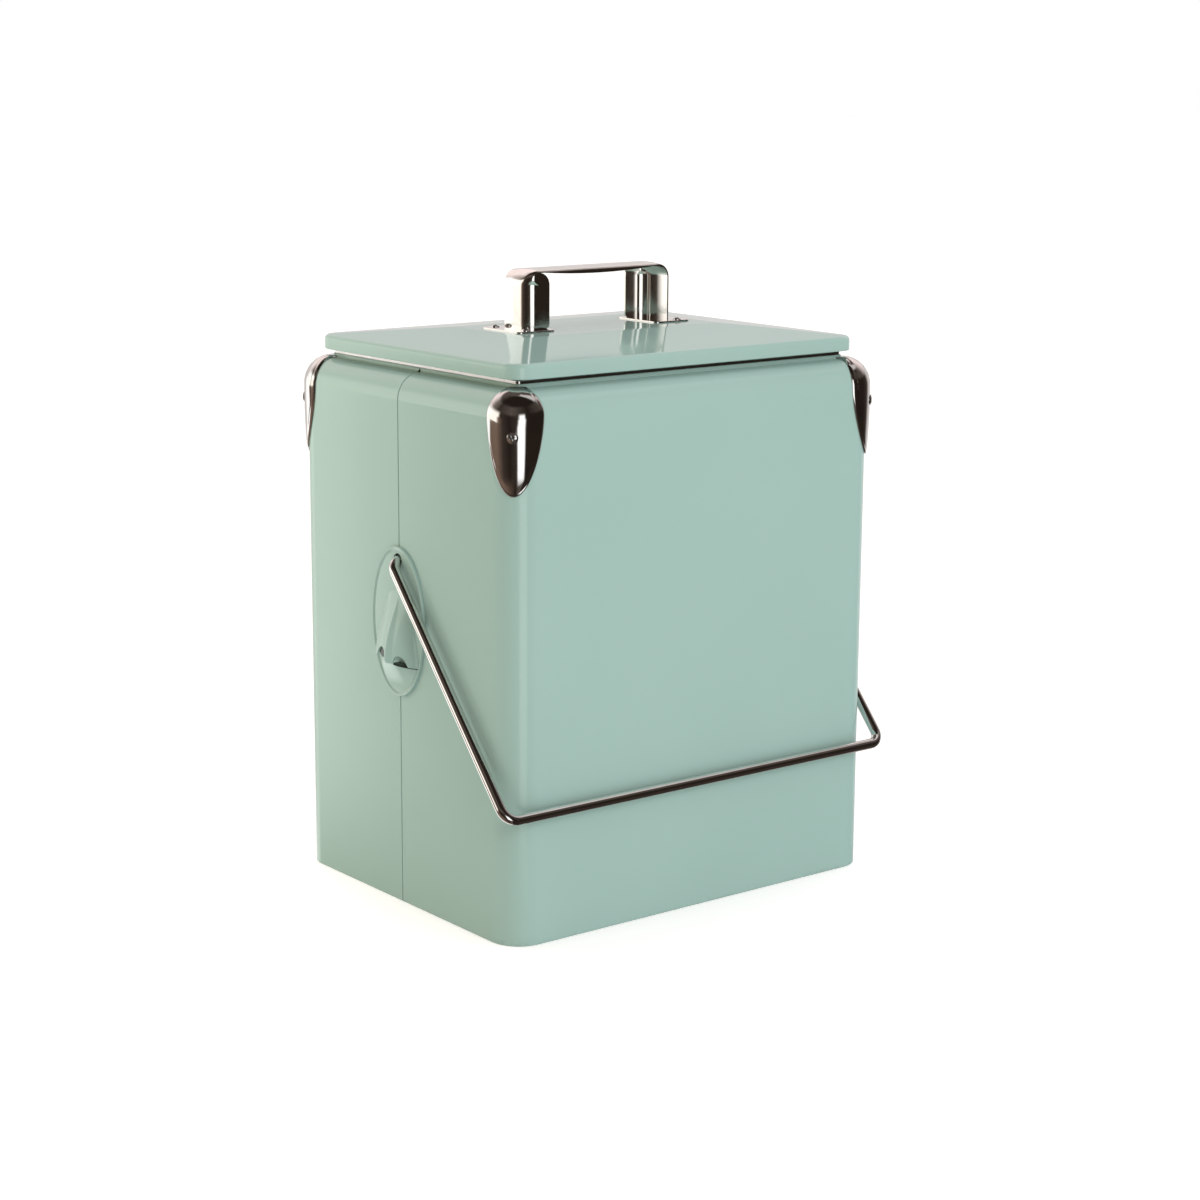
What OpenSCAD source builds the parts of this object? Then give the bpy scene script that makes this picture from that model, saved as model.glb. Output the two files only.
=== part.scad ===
// Insulated picnic chest: pressed steel shell in two halves, foam slabs, steel liner,
// lift-off hipped lid with a strap handle, and a wire bail that swings over the lid.
// Origin: centre of the base, on the floor. +X right, +Y rear, +Z up. Millimetres.

/* [Shell] */
// Width of the shell, side to side
body_w = 300; // [250:1:380]
// Depth of the shell, front to rear
body_d = 240; // [200:1:300]
// Height of the painted shell, to the top of its neck
body_h = 347; // [290:1:430]
// Radius of the shoulder that turns in under the lid
shoulder_r = 17; // [12:0.5:24]
// Radius of the neck's upright corners, above the shoulder
neck_r = 4; // [3:0.5:8]
// Height of the upright neck above the shoulder
neck_h = 2.5; // [1.5:0.5:5]
// Thickness of the shell's sheet
shell_t = 1; // [0.7:0.1:1.3]
// Visible gap at each side seam between the two halves
seam_gap = 0.8; // [0.4:0.1:1.5]
// Width of the lap strip behind each side seam
lap_w = 18; // [15:1:28]

/* [Base] */
// Height of the base pan's turned-up flange
pan_flange_h = 12; // [8:1:18]
// Thickness of the base pan
pan_t = 1.2; // [0.8:0.1:2]

/* [Liner and insulation] */
// Gap between the rim's spigot and the liner
liner_gap = 0.3; // [0.2:0.1:8]
// Thickness of the liner's sheet
liner_t = 0.8; // [0.6:0.1:1.2]
// Radius of the liner's upright corners
liner_r = 12; // [10:0.5:20]
// Radius between the liner's walls and its floor
liner_floor_r = 8; // [6:0.5:10]
// Height of the liner's floor above the ground
floor_z = 24; // [20:1:40]
// Gap between the side slabs of foam and the shell's lap strips
foam_gap = 2; // [1.5:0.5:6]

/* [Rim] */
// Height of bright rim that shows above the painted neck
rim_h = 2.5; // [1.5:0.5:5]
// Thickness of the rim's sheet
rim_t = 0.8; // [0.6:0.1:1.2]
// Depth of the rim's spigot inside the neck
rim_spigot = 7; // [4:0.5:9]
// Depth of the rim's lip inside the liner
rim_lip = 6; // [4:0.5:10]

/* [Lid] */
// Inset of the lid's sides from the shell's sides
lid_inset = 10.5; // [9:0.5:12]
// Height of the lid's upright side
lid_side_h = 9.5; // [8:0.5:14]
// Rise of the hipped top above the lid's edge
lid_rise = 6.5; // [3:0.5:10]
// Flat panel left beside each foot of the handle
panel_side = 7; // [4:1:20]
// Flat panel left in front of and behind the handle's feet
panel_front = 19; // [8:1:30]
// Radius of the lid's upright corners
lid_r = 13; // [11:0.5:16]
// Radius of the edge between the lid's side and top
lid_edge_r = 3; // [2:0.5:4]
// Thickness of the lid's sheet
lid_t = 1; // [0.8:0.1:1.3]
// Gap between the lid's gasket and its turned-in hem
hem_gap = 2.3; // [1:0.1:3.5]
// Width of the gasket under the lid
gasket_w = 3.5; // [2.5:0.1:4.5]
// Gap between the lid's plug and the rim's lip, all round
plug_gap = 1.5; // [1:0.1:3]
// Depth that the plug reaches below the lid's hem
plug_depth = 10; // [6:0.5:16]
// Height that the lid's gasket holds the hem above the rim
lid_seat = 0.5; // [0.3:0.1:1.5]

/* [Lid handle] */
// Length of the strap handle over its legs
handle_w = 116; // [100:1:130]
// Depth of the strap handle, front to rear
handle_d = 26; // [20:1:34]
// Height of the strap handle above the lid's flat panel
handle_h = 38; // [32:1:50]
// Width of each leg of the handle
leg_w = 17; // [14:0.5:22]
// Depth of the bridge's bellied lips, in the middle
bridge_lip = 3.2; // [2.2:0.1:6]
// Half length of the bridge's lips
lip_reach = 45; // [36:1:54]
// Radius of each flange's inner corner, under the bridge
flange_top_r = 8; // [4:0.5:12]
// Radius of each flange's inner corner, at its foot
flange_foot_r = 4; // [2:0.5:6]
// Outer radius where each leg turns into the bridge
handle_r = 9; // [7:0.5:12]
// Outer radius where a leg turns into its flange
handle_edge_r = 9; // [5:0.5:12]
// Thickness of the handle's strap
strap_t = 1.2; // [1:0.1:1.6]
// Reach of each foot beyond its leg
foot_reach = 13; // [11:0.5:16]
// Width of each foot beyond the front and rear of its leg
foot_side = 8; // [6.5:0.5:12]
// Distance from a leg's outer face to its screws
screw_out = 4.5; // [3.5:0.5:6]
// Distance from a leg's front or rear to its screws
screw_side = 3.5; // [2.5:0.5:4.5]
// Thickness of each foot
foot_t = 1; // [0.8:0.1:1.5]

/* [Bail] */
// Diameter of the bail's rod
rod_d = 7; // [5:0.5:9]
// Distance from the top of the neck down to the pivot
pivot_drop = 121; // [100:1:150]
// Clearance between the lid handle and the upright bail
bail_clear = 6.5; // [4:0.5:20]
// Gap between the crossbar at rest and the shell
bail_rest_gap = 0.4; // [0.3:0.1:3]
// Gap between a bail arm and the bead of its side plate
arm_gap = 0.8; // [0.5:0.1:3]
// Centreline radius of the bends at the crossbar
bar_bend_r = 9; // [7:0.5:16]
// Radial running clearance of the rod in its anchors
run_clear = 0.05; // [0.02:0.01:0.1]
// Clearance of the bend where it passes the hole in its side plate
hole_clear = 0.3; // [0.2:0.1:2]

/* [Side plates] */
// Width of each oval side plate
plate_w = 58; // [46:1:72]
// Height of each oval side plate
plate_h = 97; // [80:1:120]
// Thickness of the side plates
plate_t = 1.2; // [0.8:0.1:1.6]
// Width of the bead round each side plate
bead_w = 2; // [1.5:0.1:3]
// Height of the bead above its plate
bead_h = 1; // [0.5:0.1:1.5]
// Distance from the edge of the bail's hole up to the top of the plate
hole_margin = 4.3; // [3:0.1:10]
// Reach of the opener's hood beyond its plate
hood_reach = 13; // [10:0.5:16]
// Height of the opener's hood
hood_h = 38; // [30:1:46]
// Distance from the pivot down to the hood's mouth
hood_drop = 60; // [50:1:66]

/* [Corner guards] */
// Width of each guard, measured square across its corner
guard_w = 35; // [28:1:42]
// Distance from the guard's widest level down to its tip
guard_tip = 45; // [35:1:60]
// Distance from the shell's top down to the guard's widest level
guard_drop = 17.5; // [12:0.5:24]
// Thickness of the guards
guard_t = 1.2; // [0.8:0.1:1.6]
// Distance from the guard's widest level down to its screw
guard_screw_drop = 12; // [8:1:20]

/* [Hidden] */
$fn = 64;

mint = [0.62, 0.76, 0.71];
mint_lid = [0.66, 0.78, 0.73];
chrome = [0.55, 0.54, 0.52];
satin = [0.74, 0.72, 0.69];
steel = [0.78, 0.79, 0.80];
foam = [0.93, 0.91, 0.84];
rubber = [0.12, 0.12, 0.12];

fit = 0.1;                      // gap between sheets that lie on each other
eps = 0.5;                      // overshoot of a cutting shape

// Shell
corner_r = neck_r + shoulder_r;
wall_top = body_h - neck_h - shoulder_r;
neck_w = body_w - 2 * shoulder_r;
neck_d = body_d - 2 * shoulder_r;

// Liner, inside the rim's spigot
mouth_inset = shoulder_r + shell_t + fit + rim_t + liner_gap + liner_t;
liner_w = body_w - 2 * mouth_inset;
liner_d = body_d - 2 * mouth_inset;
liner_top = body_h + rim_h - rim_t - fit;

// Rim
rim_w = neck_w - 2 * shell_t - 2 * fit;
rim_d = neck_d - 2 * shell_t - 2 * fit;
rim_r = neck_r - shell_t - fit;
rim_top = body_h + rim_h;
lip_w = liner_w - 2 * fit;
lip_d = liner_d - 2 * fit;

// Lid
lid_w = body_w - 2 * lid_inset;
lid_d = body_d - 2 * lid_inset;
lid_z = rim_top + lid_seat;
lid_edge_z = lid_z + lid_side_h;
panel_z = lid_edge_z + lid_rise;
plug_w = lip_w - 2 * rim_t - 2 * plug_gap;
plug_d = lip_d - 2 * rim_t - 2 * plug_gap;
plug_r = liner_r - fit - rim_t - plug_gap;
gasket_out = fit + gasket_w;                // gasket's outer face, from the plug
hem_w = (lid_w - plug_w) / 2 - gasket_out - hem_gap;
foot_d = handle_d + 2 * foot_side;
panel_w = handle_w + 2 * foot_reach + 2 * panel_side;
panel_d = foot_d + 2 * panel_front;
pan_sheet_t = 0.8;                          // sheet of the lid's inner pan
pan_z = lid_z + lid_t + fit;                // underside of the inner pan's flange
plug_bottom = lid_z - plug_depth;

// Lid handle
handle_x = handle_w / 2;
screw_x = handle_x + screw_out;             // handle screws, from the lid's centre
screw_y = handle_d / 2 + screw_side;
lid_screw_r = 1.5;
lid_head_r = 2.8;
lid_head_h = 1.5;
nut_h = 2.4;
nut_r = 3.2;                                // over a nut's corners
handle_top = panel_z + handle_h;

// Bail
rod_r = rod_d / 2;
pivot_z = body_h - pivot_drop;
plate_face = body_w / 2 + plate_t;
arm_x = plate_face + bead_h + arm_gap + rod_r;
arm_len = handle_top - pivot_z + bail_clear + rod_r;
rest_y = body_d / 2 + rod_r + bail_rest_gap;
rest_angle = asin(rest_y / arm_len);
anchor_plate_t = 1.5;
anchor_side = 30;
anchor_boss_r = 6.5;
anchor_depth = 5;                           // plate and boss together
anchor_x = body_w / 2 - 2 * shell_t - fit;  // outer face of an anchor, from the middle
bend_x = anchor_x + 0.6;                    // where a stub starts to bend
pivot_bend_r = arm_x - bend_x;
bend_inner_r = pivot_bend_r - rod_r;
bend_drop = pivot_bend_r - sqrt(pow(bend_inner_r, 2) - pow(plate_face - bend_x, 2));
plate_hole_r = bend_drop + hole_clear;
shell_hole_r = plate_hole_r + 1;
retainer_t = 1.2;
retainer_r = 7;
stub_over = 2.2;                            // length of a stub beyond its retainer
stub_in = anchor_x - anchor_depth - fit - retainer_t - stub_over;

// Insulation
foam_x = body_w / 2 - mouth_inset + liner_t + fit;   // inner face of a side slab
foam_y = body_d / 2 - mouth_inset + liner_t + fit;
foam_t = anchor_x - foam_gap - foam_x;
foam_top = wall_top + 2;
foam_floor_z = pan_t + fit;
foam_floor_t = floor_z - liner_t - 2 * fit - pan_t;
pocket = anchor_side + 4;                   // side of the pocket behind a bail anchor

// Side plates
plate_z = pivot_z + plate_hole_r + hole_margin - plate_h / 2;
hood_sink = 4;                              // axis of the hood's cone, behind the plate's face
hood_t = 1.2;
hood_z = pivot_z - hood_drop;
notch_r = 7.5;                              // the two scallops in the hood's mouth
notch_y = 8.5;
mouth_gap = 4;                              // height of the mouth over its rolled lip
lip_r = 2;
lip_half = 8;

// Corner guards
guard_z = body_h - guard_drop;
guard_top = guard_drop - neck_h + 2;        // height of the outline above its widest level
guard_screw_z = guard_z - guard_screw_drop;
guard_run = max(2, guard_w / sqrt(2) - corner_r + 3);   // straight part on each face
hole_gap = 0.05;                            // radial gap round a screw's shank
guard_screw_r = 1.7;
screw_head_r = 3.5;
screw_head_h = 1.7;
guard_screw_in = 8;                         // reach of a guard screw inside the shell

// ---------- shared shapes ----------

// Rectangle with round corners, centred
module round_rect(w, d, r) {
    square([w - 2 * r, d], center = true);
    square([w, d - 2 * r], center = true);
    for (sx = [-1, 1], sy = [-1, 1])
        translate([sx * (w / 2 - r), sy * (d / 2 - r)]) circle(r = r);
}

// Upright ring between two rounded rectangles
module ring(w, d, r, t, h) {
    linear_extrude(h) difference() {
        round_rect(w, d, r);
        round_rect(w - 2 * t, d - 2 * t, max(r - t, 0.6));
    }
}

// Sweeps a profile (x outward from the corner's centre line, y up) round a rectangle
module sweep_round(w, d, r) {
    for (sx = [-1, 1], sy = [-1, 1]) at_corner(w, d, r, sx, sy) rotate_extrude(angle = 90) children();
    for (a = [0, 180]) {
        rotate([0, 0, a]) translate([w / 2 - r, 0, 0])
            rotate([90, 0, 0]) linear_extrude(d - 2 * r, center = true) children();
        rotate([0, 0, a + 90]) translate([d / 2 - r, 0, 0])
            rotate([90, 0, 0]) linear_extrude(w - 2 * r, center = true) children();
    }
}

// Places a shape made for the +X +Y corner at any corner
module at_corner(w, d, r, sx, sy) {
    translate([sx * (w / 2 - r), sy * (d / 2 - r), 0])
        mirror([sx < 0 ? 1 : 0, 0, 0]) mirror([0, sy < 0 ? 1 : 0, 0]) children();
}

// Quarter ring in the upper right quadrant
module quarter_band(r_out, t) {
    intersection() {
        difference() {
            circle(r = r_out);
            circle(r = r_out - t);
        }
        square(r_out);
    }
}

// Oval outline
module oval(w, h) {
    steps = 96;
    polygon([for (i = [0 : steps - 1]) let (a = 360 * i / steps) [w / 2 * cos(a), h / 2 * sin(a)]]);
}

// ---------- shell ----------

// Section of the shell's sheet
module shell_profile() {
    translate([corner_r - shell_t, 0]) square([shell_t, wall_top]);
    translate([neck_r, wall_top]) quarter_band(shoulder_r, shell_t);
    translate([neck_r - shell_t, wall_top + shoulder_r - shell_t]) square([shell_t, neck_h + shell_t]);
}

// The front half: two corners, the front and half of each side
module half_shell() {
    side = body_d / 2 - corner_r - seam_gap / 2;
    difference() {
        union() {
            for (sx = [-1, 1]) {
                at_corner(body_w, body_d, corner_r, sx, -1) rotate_extrude(angle = 90) shell_profile();
                at_corner(body_w, body_d, corner_r, sx, -1)
                    rotate([90, 0, 0]) linear_extrude(side) shell_profile();
            }
            rotate([0, 0, -90]) translate([body_d / 2 - corner_r, 0, 0])
                rotate([90, 0, 0]) linear_extrude(body_w - 2 * corner_r, center = true) shell_profile();
        }
        pivot_hole(shell_hole_r);
        for (sx = [-1, 1]) guard_screw_hole(sx, -1);
    }
}

// Clearance hole through both sides on the pivot's axis
module pivot_hole(r) {
    translate([0, 0, pivot_z]) rotate([0, 90, 0]) cylinder(r = r, h = body_w + 20, center = true);
}

// Hole for a guard's screw, square to its corner
module guard_screw_hole(sx, sy) {
    at_corner(body_w, body_d, corner_r, sx, sy) rotate([0, 0, 45])
        translate([corner_r - guard_screw_in, 0, guard_screw_z])
            rotate([0, 90, 0]) cylinder(r = guard_screw_r + hole_gap, h = 2 * guard_screw_in);
}

module front_shell() {
    color(mint) half_shell();
}

// The rear half carries the lap strips that lie behind the side seams
module rear_shell() {
    color(mint) union() {
        mirror([0, 1, 0]) half_shell();
        for (sx = [-1, 1]) seam_lap(sx);
    }
}

module seam_lap(sx) {
    reach = lap_w / 2;
    difference() {
        union() {
            translate([sx * (body_w / 2 - shell_t - fit) - (sx > 0 ? shell_t - fit : 0), -reach,
                       pan_flange_h + eps])
                cube([shell_t - fit, lap_w, wall_top - pan_flange_h - eps]);
            translate([sx * (body_w / 2 - shell_t) - (sx > 0 ? shell_t : 0), reach - 2,
                       pan_flange_h + eps])
                cube([shell_t, 2, wall_top - pan_flange_h - eps]);
        }
        pivot_hole(shell_hole_r);
    }
}

module base_pan() {
    w = body_w - 2 * shell_t - 2 * fit;
    d = body_d - 2 * shell_t - 2 * fit;
    r = corner_r - shell_t - fit;
    color(mint) union() {
        linear_extrude(pan_t) round_rect(w, d, r);
        ring(w, d, r, pan_t, pan_flange_h);
    }
}

// ---------- insulation and liner ----------

module foam_front() {
    color(foam) foam_slab_y();
}

module foam_rear() {
    color(foam) mirror([0, 1, 0]) foam_slab_y();
}

module foam_slab_y() {
    w = body_w - 2 * corner_r;
    translate([-w / 2, -foam_y - foam_t, foam_floor_z]) cube([w, foam_t, foam_top - foam_floor_z]);
}

module foam_left() {
    color(foam) mirror([1, 0, 0]) foam_slab_x();
}

module foam_right() {
    color(foam) foam_slab_x();
}

// A side slab, with a pocket for the bail's anchor and stub
module foam_slab_x() {
    d = 2 * foam_y - 2 * fit;
    depth = foam_x + foam_t - stub_in + 2;
    difference() {
        translate([foam_x, -d / 2, foam_floor_z]) cube([foam_t, d, foam_top - foam_floor_z]);
        translate([foam_x + foam_t - depth, -pocket / 2, pivot_z - pocket / 2])
            cube([depth + eps, pocket, pocket]);
    }
}

module foam_floor() {
    w = 2 * foam_x - 2 * fit;
    d = 2 * foam_y - 2 * fit;
    color(foam) translate([-w / 2, -d / 2, foam_floor_z]) cube([w, d, foam_floor_t]);
}

// Section of the liner: wall, round foot and the outer strip of the floor
module liner_profile() {
    translate([liner_r, floor_z + liner_floor_r])
        square([liner_t, liner_top - floor_z - liner_floor_r]);
    translate([liner_r - liner_floor_r, floor_z + liner_floor_r])
        mirror([0, 1]) quarter_band(liner_floor_r + liner_t, liner_t);
    translate([0, floor_z - liner_t]) square([liner_r - liner_floor_r, liner_t]);
}

module inner_liner() {
    color(steel) union() {
        sweep_round(liner_w, liner_d, liner_r) liner_profile();
        translate([0, 0, floor_z - liner_t / 2])
            cube([liner_w - 2 * liner_r, liner_d - 2 * liner_r, liner_t], center = true);
    }
}

// Bright rim: a spigot inside the neck, a flat top and a lip inside the liner
module rim_collar() {
    color(steel) union() {
        translate([0, 0, body_h - rim_spigot]) ring(rim_w, rim_d, rim_r, rim_t, rim_spigot + rim_h);
        translate([0, 0, rim_top - rim_t]) linear_extrude(rim_t) difference() {
            round_rect(rim_w, rim_d, rim_r);
            round_rect(lip_w - 2 * rim_t, lip_d - 2 * rim_t, liner_r - fit - rim_t);
        }
        translate([0, 0, rim_top - rim_lip]) ring(lip_w, lip_d, liner_r - fit, rim_t, rim_lip);
    }
}

// ---------- corner guards ----------

// Outline of a guard seen square to its corner: a long egg, point down
module guard_outline() {
    steps = 24;
    half = guard_w / 2;
    lower = [for (i = [0 : steps]) let (u = sin(90 * i / steps))
             [half * sqrt(1 - pow(u, 1.7)), guard_z - guard_tip * u]];
    upper = [for (i = [steps - 1 : -1 : 1]) let (u = sin(90 * i / steps))
             [half * sqrt(1 - u * u), guard_z + guard_top * u]];
    right = concat(upper, lower);
    left = [for (i = [len(right) - 2 : -1 : 0]) [-right[i][0], right[i][1]]];
    polygon(concat(right, left, [[0, guard_z + guard_top]]));
}

// Section of a guard's sheet, following the wall and the shoulder
module guard_profile() {
    translate([corner_r + fit, guard_z - guard_tip - 2])
        square([guard_t, wall_top - guard_z + guard_tip + 2]);
    translate([neck_r, wall_top]) quarter_band(shoulder_r + fit + guard_t, guard_t);
}

module guard(sx, sy) {
    color(chrome) difference() {
        at_corner(body_w, body_d, corner_r, sx, sy) intersection() {
            union() {
                rotate_extrude(angle = 90) guard_profile();
                rotate([90, 0, 0]) linear_extrude(guard_run) guard_profile();
                rotate([90, 0, 90]) translate([0, 0, -guard_run])
                    linear_extrude(guard_run) guard_profile();
            }
            rotate([0, 0, 45]) rotate([90, 0, 90]) linear_extrude(2 * corner_r) guard_outline();
        }
        guard_screw_hole(sx, sy);
    }
}

module guard_front_left() {
    guard(-1, -1);
}

module guard_front_right() {
    guard(1, -1);
}

module guard_rear_left() {
    guard(-1, 1);
}

module guard_rear_right() {
    guard(1, 1);
}

// Pan head with a cross recess, rising from its underside at zero
module pan_head(r, h) {
    rim = h * 0.35;                         // upright edge under the dome
    rise = h - rim;
    dome = (r * r + rise * rise) / (2 * rise);
    slot = 0.7;
    difference() {
        rotate_extrude() {
            square([r, rim]);
            intersection() {
                translate([0, h - dome]) circle(r = dome);
                translate([0, rim]) square([r, h]);
            }
        }
        for (a = [0, 90]) rotate([0, 0, a]) translate([-r * 0.55, -slot / 2, h - 0.9])
            cube([r * 1.1, slot, 1]);
    }
}

module guard_screws() {
    color(steel) for (sx = [-1, 1], sy = [-1, 1])
        at_corner(body_w, body_d, corner_r, sx, sy) rotate([0, 0, 45])
            translate([corner_r + fit + guard_t, 0, guard_screw_z]) rotate([0, 90, 0]) union() {
                pan_head(screw_head_r, screw_head_h);
                translate([0, 0, -guard_screw_in]) cylinder(r = guard_screw_r, h = guard_screw_in);
            }
}

// ---------- side plates and opener ----------

// Oval plate with a raised bead, built on the +X side
module plain_plate() {
    translate([body_w / 2, 0, plate_z]) rotate([90, 0, 90]) union() {
        linear_extrude(plate_t) oval(plate_w, plate_h);
        linear_extrude(plate_t + bead_h) difference() {
            oval(plate_w, plate_h);
            oval(plate_w - 2 * bead_w, plate_h - 2 * bead_w);
        }
    }
}

module side_plate_right() {
    color(mint) difference() {
        plain_plate();
        pivot_hole(plate_hole_r);
    }
}

// Cone that the hood is cut from; its top closes on the plate's face
module hood_cone(skin) {
    translate([plate_face - hood_sink, 0, hood_z - skin])
        cylinder(r1 = hood_reach + hood_sink - skin, r2 = hood_sink - skin, h = hood_h + skin);
}

// Left plate with the opener: a hood with a scalloped mouth above a rolled lip
module side_plate_left() {
    color(mint) mirror([1, 0, 0]) difference() {
        union() {
            plain_plate();
            intersection() {
                hood_cone(0);
                translate([body_w / 2, -plate_w / 2, hood_z]) cube([2 * hood_reach, plate_w, hood_h]);
            }
            translate([plate_face, 0, hood_z - mouth_gap - lip_r]) rotate([90, 0, 0])
                intersection() {
                    cylinder(r = lip_r, h = 2 * lip_half, center = true);
                    translate([-plate_t, -lip_r, -lip_half])
                        cube([plate_t + lip_r, 2 * lip_r, 2 * lip_half]);
                }
        }
        hood_cone(hood_t);
        for (s = [-1, 1]) translate([plate_face + 1, s * notch_y, hood_z - 3])
            rotate([0, 90, 0]) cylinder(r = notch_r, h = 2 * hood_reach);
        pivot_hole(plate_hole_r);
    }
}

// ---------- bail ----------

// Plate and boss behind the side seam that carry a bail stub
module bail_anchor(sx) {
    color(steel) mirror([sx < 0 ? 1 : 0, 0, 0]) translate([anchor_x, 0, pivot_z]) difference() {
        union() {
            translate([-anchor_plate_t, -anchor_side / 2, -anchor_side / 2])
                cube([anchor_plate_t, anchor_side, anchor_side]);
            rotate([0, -90, 0]) cylinder(r = anchor_boss_r, h = anchor_depth);
        }
        translate([-anchor_depth - eps, 0, 0]) rotate([0, 90, 0])
            cylinder(r = rod_r + run_clear, h = anchor_depth + 2 * eps);
    }
}

module bail_anchor_left() {
    bail_anchor(-1);
}

module bail_anchor_right() {
    bail_anchor(1);
}

// Quarter bend of the rod; starts along +X at the origin and turns down
module rod_bend(r) {
    translate([0, 0, -r]) rotate([90, 0, 0]) rotate_extrude(angle = 90) translate([r, 0]) circle(r = rod_r);
}

// One half of the bail hanging straight down from its pivot
module bail_half() {
    translate([stub_in, 0, 0]) rotate([0, 90, 0]) cylinder(r = rod_r, h = bend_x - stub_in);
    translate([bend_x, 0, 0]) rod_bend(pivot_bend_r);
    translate([arm_x, 0, bar_bend_r - arm_len])
        cylinder(r = rod_r, h = arm_len - bar_bend_r - pivot_bend_r);
    translate([arm_x - bar_bend_r, 0, -arm_len]) mirror([0, 0, 1]) rod_bend(bar_bend_r);
    translate([0, 0, -arm_len]) rotate([0, 90, 0]) cylinder(r = rod_r, h = arm_x - bar_bend_r);
}

module bail_rod() {
    color(chrome) translate([0, 0, pivot_z]) rotate([-rest_angle, 0, 0]) union() {
        bail_half();
        mirror([1, 0, 0]) bail_half();
    }
}

// Push-on washers that keep the stubs in their anchors
module bail_retainers() {
    color(steel) for (sx = [-1, 1]) mirror([sx < 0 ? 1 : 0, 0, 0])
        translate([anchor_x - anchor_depth - fit - retainer_t, 0, pivot_z])
            rotate([0, 90, 0]) difference() {
                cylinder(r = retainer_r, h = retainer_t);
                translate([0, 0, -eps]) cylinder(r = rod_r + run_clear / 2, h = retainer_t + 2 * eps);
            }
}

// ---------- lid ----------

// Section of the lid's side: hem, upright side and round edge
module lid_profile() {
    translate([lid_r - lid_t, lid_z]) square([lid_t, lid_side_h - lid_edge_r]);
    translate([lid_r - hem_w, lid_z]) square([hem_w, lid_t]);
    translate([lid_r - lid_edge_r, lid_edge_z - lid_edge_r]) quarter_band(lid_edge_r, lid_t);
}

// Solid under the hipped top: two crossed prisms, from z0 up to the panel
module hip(w, d, drop, z0) {
    intersection() {
        rotate([90, 0, 0]) linear_extrude(d, center = true)
            hip_section(w, panel_w, drop, z0);
        rotate([90, 0, 90]) linear_extrude(w, center = true)
            hip_section(d, panel_d, drop, z0);
    }
}

module hip_section(base, top, drop, z0) {
    polygon([[-base / 2, z0], [base / 2, z0], [base / 2, lid_edge_z - drop],
             [top / 2, panel_z - drop], [-top / 2, panel_z - drop], [-base / 2, lid_edge_z - drop]]);
}

module lid_shell() {
    w = lid_w - 2 * lid_edge_r;
    d = lid_d - 2 * lid_edge_r;
    color(mint_lid) difference() {
        union() {
            sweep_round(lid_w, lid_d, lid_r) lid_profile();
            intersection() {
                difference() {
                    hip(w, d, 0, lid_edge_z - lid_t);
                    hip(w + eps, d + eps, lid_t, lid_z);
                }
                translate([0, 0, lid_z]) linear_extrude(panel_z) round_rect(w, d, lid_r - lid_edge_r);
            }
        }
        handle_screw_holes();
    }
}

module handle_screw_holes() {
    for (sx = [-1, 1], sy = [-1, 1]) translate([sx * screw_x, sy * screw_y, panel_z - 12])
        cylinder(r = lid_screw_r + fit, h = 20);
}

// Pan that closes the lid from below: a flange on the hem and a plug in the mouth
module lid_inner_pan() {
    flange_w = lid_w - 2 * lid_t - 2 * fit;
    flange_d = lid_d - 2 * lid_t - 2 * fit;
    color(steel) union() {
        translate([0, 0, pan_z]) linear_extrude(pan_sheet_t) difference() {
            round_rect(flange_w, flange_d, lid_r - lid_t - fit);
            round_rect(plug_w - 2 * pan_sheet_t, plug_d - 2 * pan_sheet_t, plug_r - pan_sheet_t);
        }
        translate([0, 0, plug_bottom])
            ring(plug_w, plug_d, plug_r, pan_sheet_t, pan_z - plug_bottom + pan_sheet_t / 2);
        translate([0, 0, plug_bottom]) linear_extrude(pan_sheet_t) round_rect(plug_w, plug_d, plug_r);
    }
}

// Foam in the plug and under the hipped top, with pockets for the handle's nuts
module lid_foam() {
    gap = 0.3;
    w = lid_w - 2 * lid_t - 2 * lid_edge_r - 2 * gap;
    d = lid_d - 2 * lid_t - 2 * lid_edge_r - 2 * gap;
    inner_w = plug_w - 2 * pan_sheet_t - 2 * gap;
    inner_d = plug_d - 2 * pan_sheet_t - 2 * gap;
    base = plug_bottom + pan_sheet_t + fit;
    upper = pan_z + pan_sheet_t + fit;
    color(foam) difference() {
        union() {
            translate([0, 0, base]) linear_extrude(upper - base + eps)
                round_rect(inner_w, inner_d, plug_r - pan_sheet_t - gap);
            intersection() {
                hip(w, d, lid_t + 2 * gap, upper);
                translate([0, 0, upper]) linear_extrude(panel_z) round_rect(w, d, lid_r - lid_edge_r - gap);
            }
        }
        for (sx = [-1, 1], sy = [-1, 1])
            translate([sx * screw_x, sy * screw_y, panel_z - lid_t - nut_h - 3])
                cylinder(r = nut_r + 1, h = nut_h + 4);
    }
}

// Strip round the plug that rests on the rim
module lid_gasket() {
    seat = 0.05;
    color(rubber) translate([0, 0, rim_top + seat])
        ring(plug_w + 2 * gasket_out, plug_d + 2 * gasket_out, plug_r + gasket_out, gasket_w,
             pan_z - rim_top - 2 * seat);
}

// Side view of the strap, filled down to the lid; an inset one runs below it
module handle_arch(inset) {
    r = handle_r - inset;
    w = handle_w - 2 * inset;
    translate([-w / 2, -inset]) square([w, handle_h - r]);
    translate([-w / 2 + r, -inset]) square([w - 2 * r, handle_h]);
    for (s = [-1, 1]) translate([s * (w / 2 - r), handle_h - inset - r]) circle(r = r);
}

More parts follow.
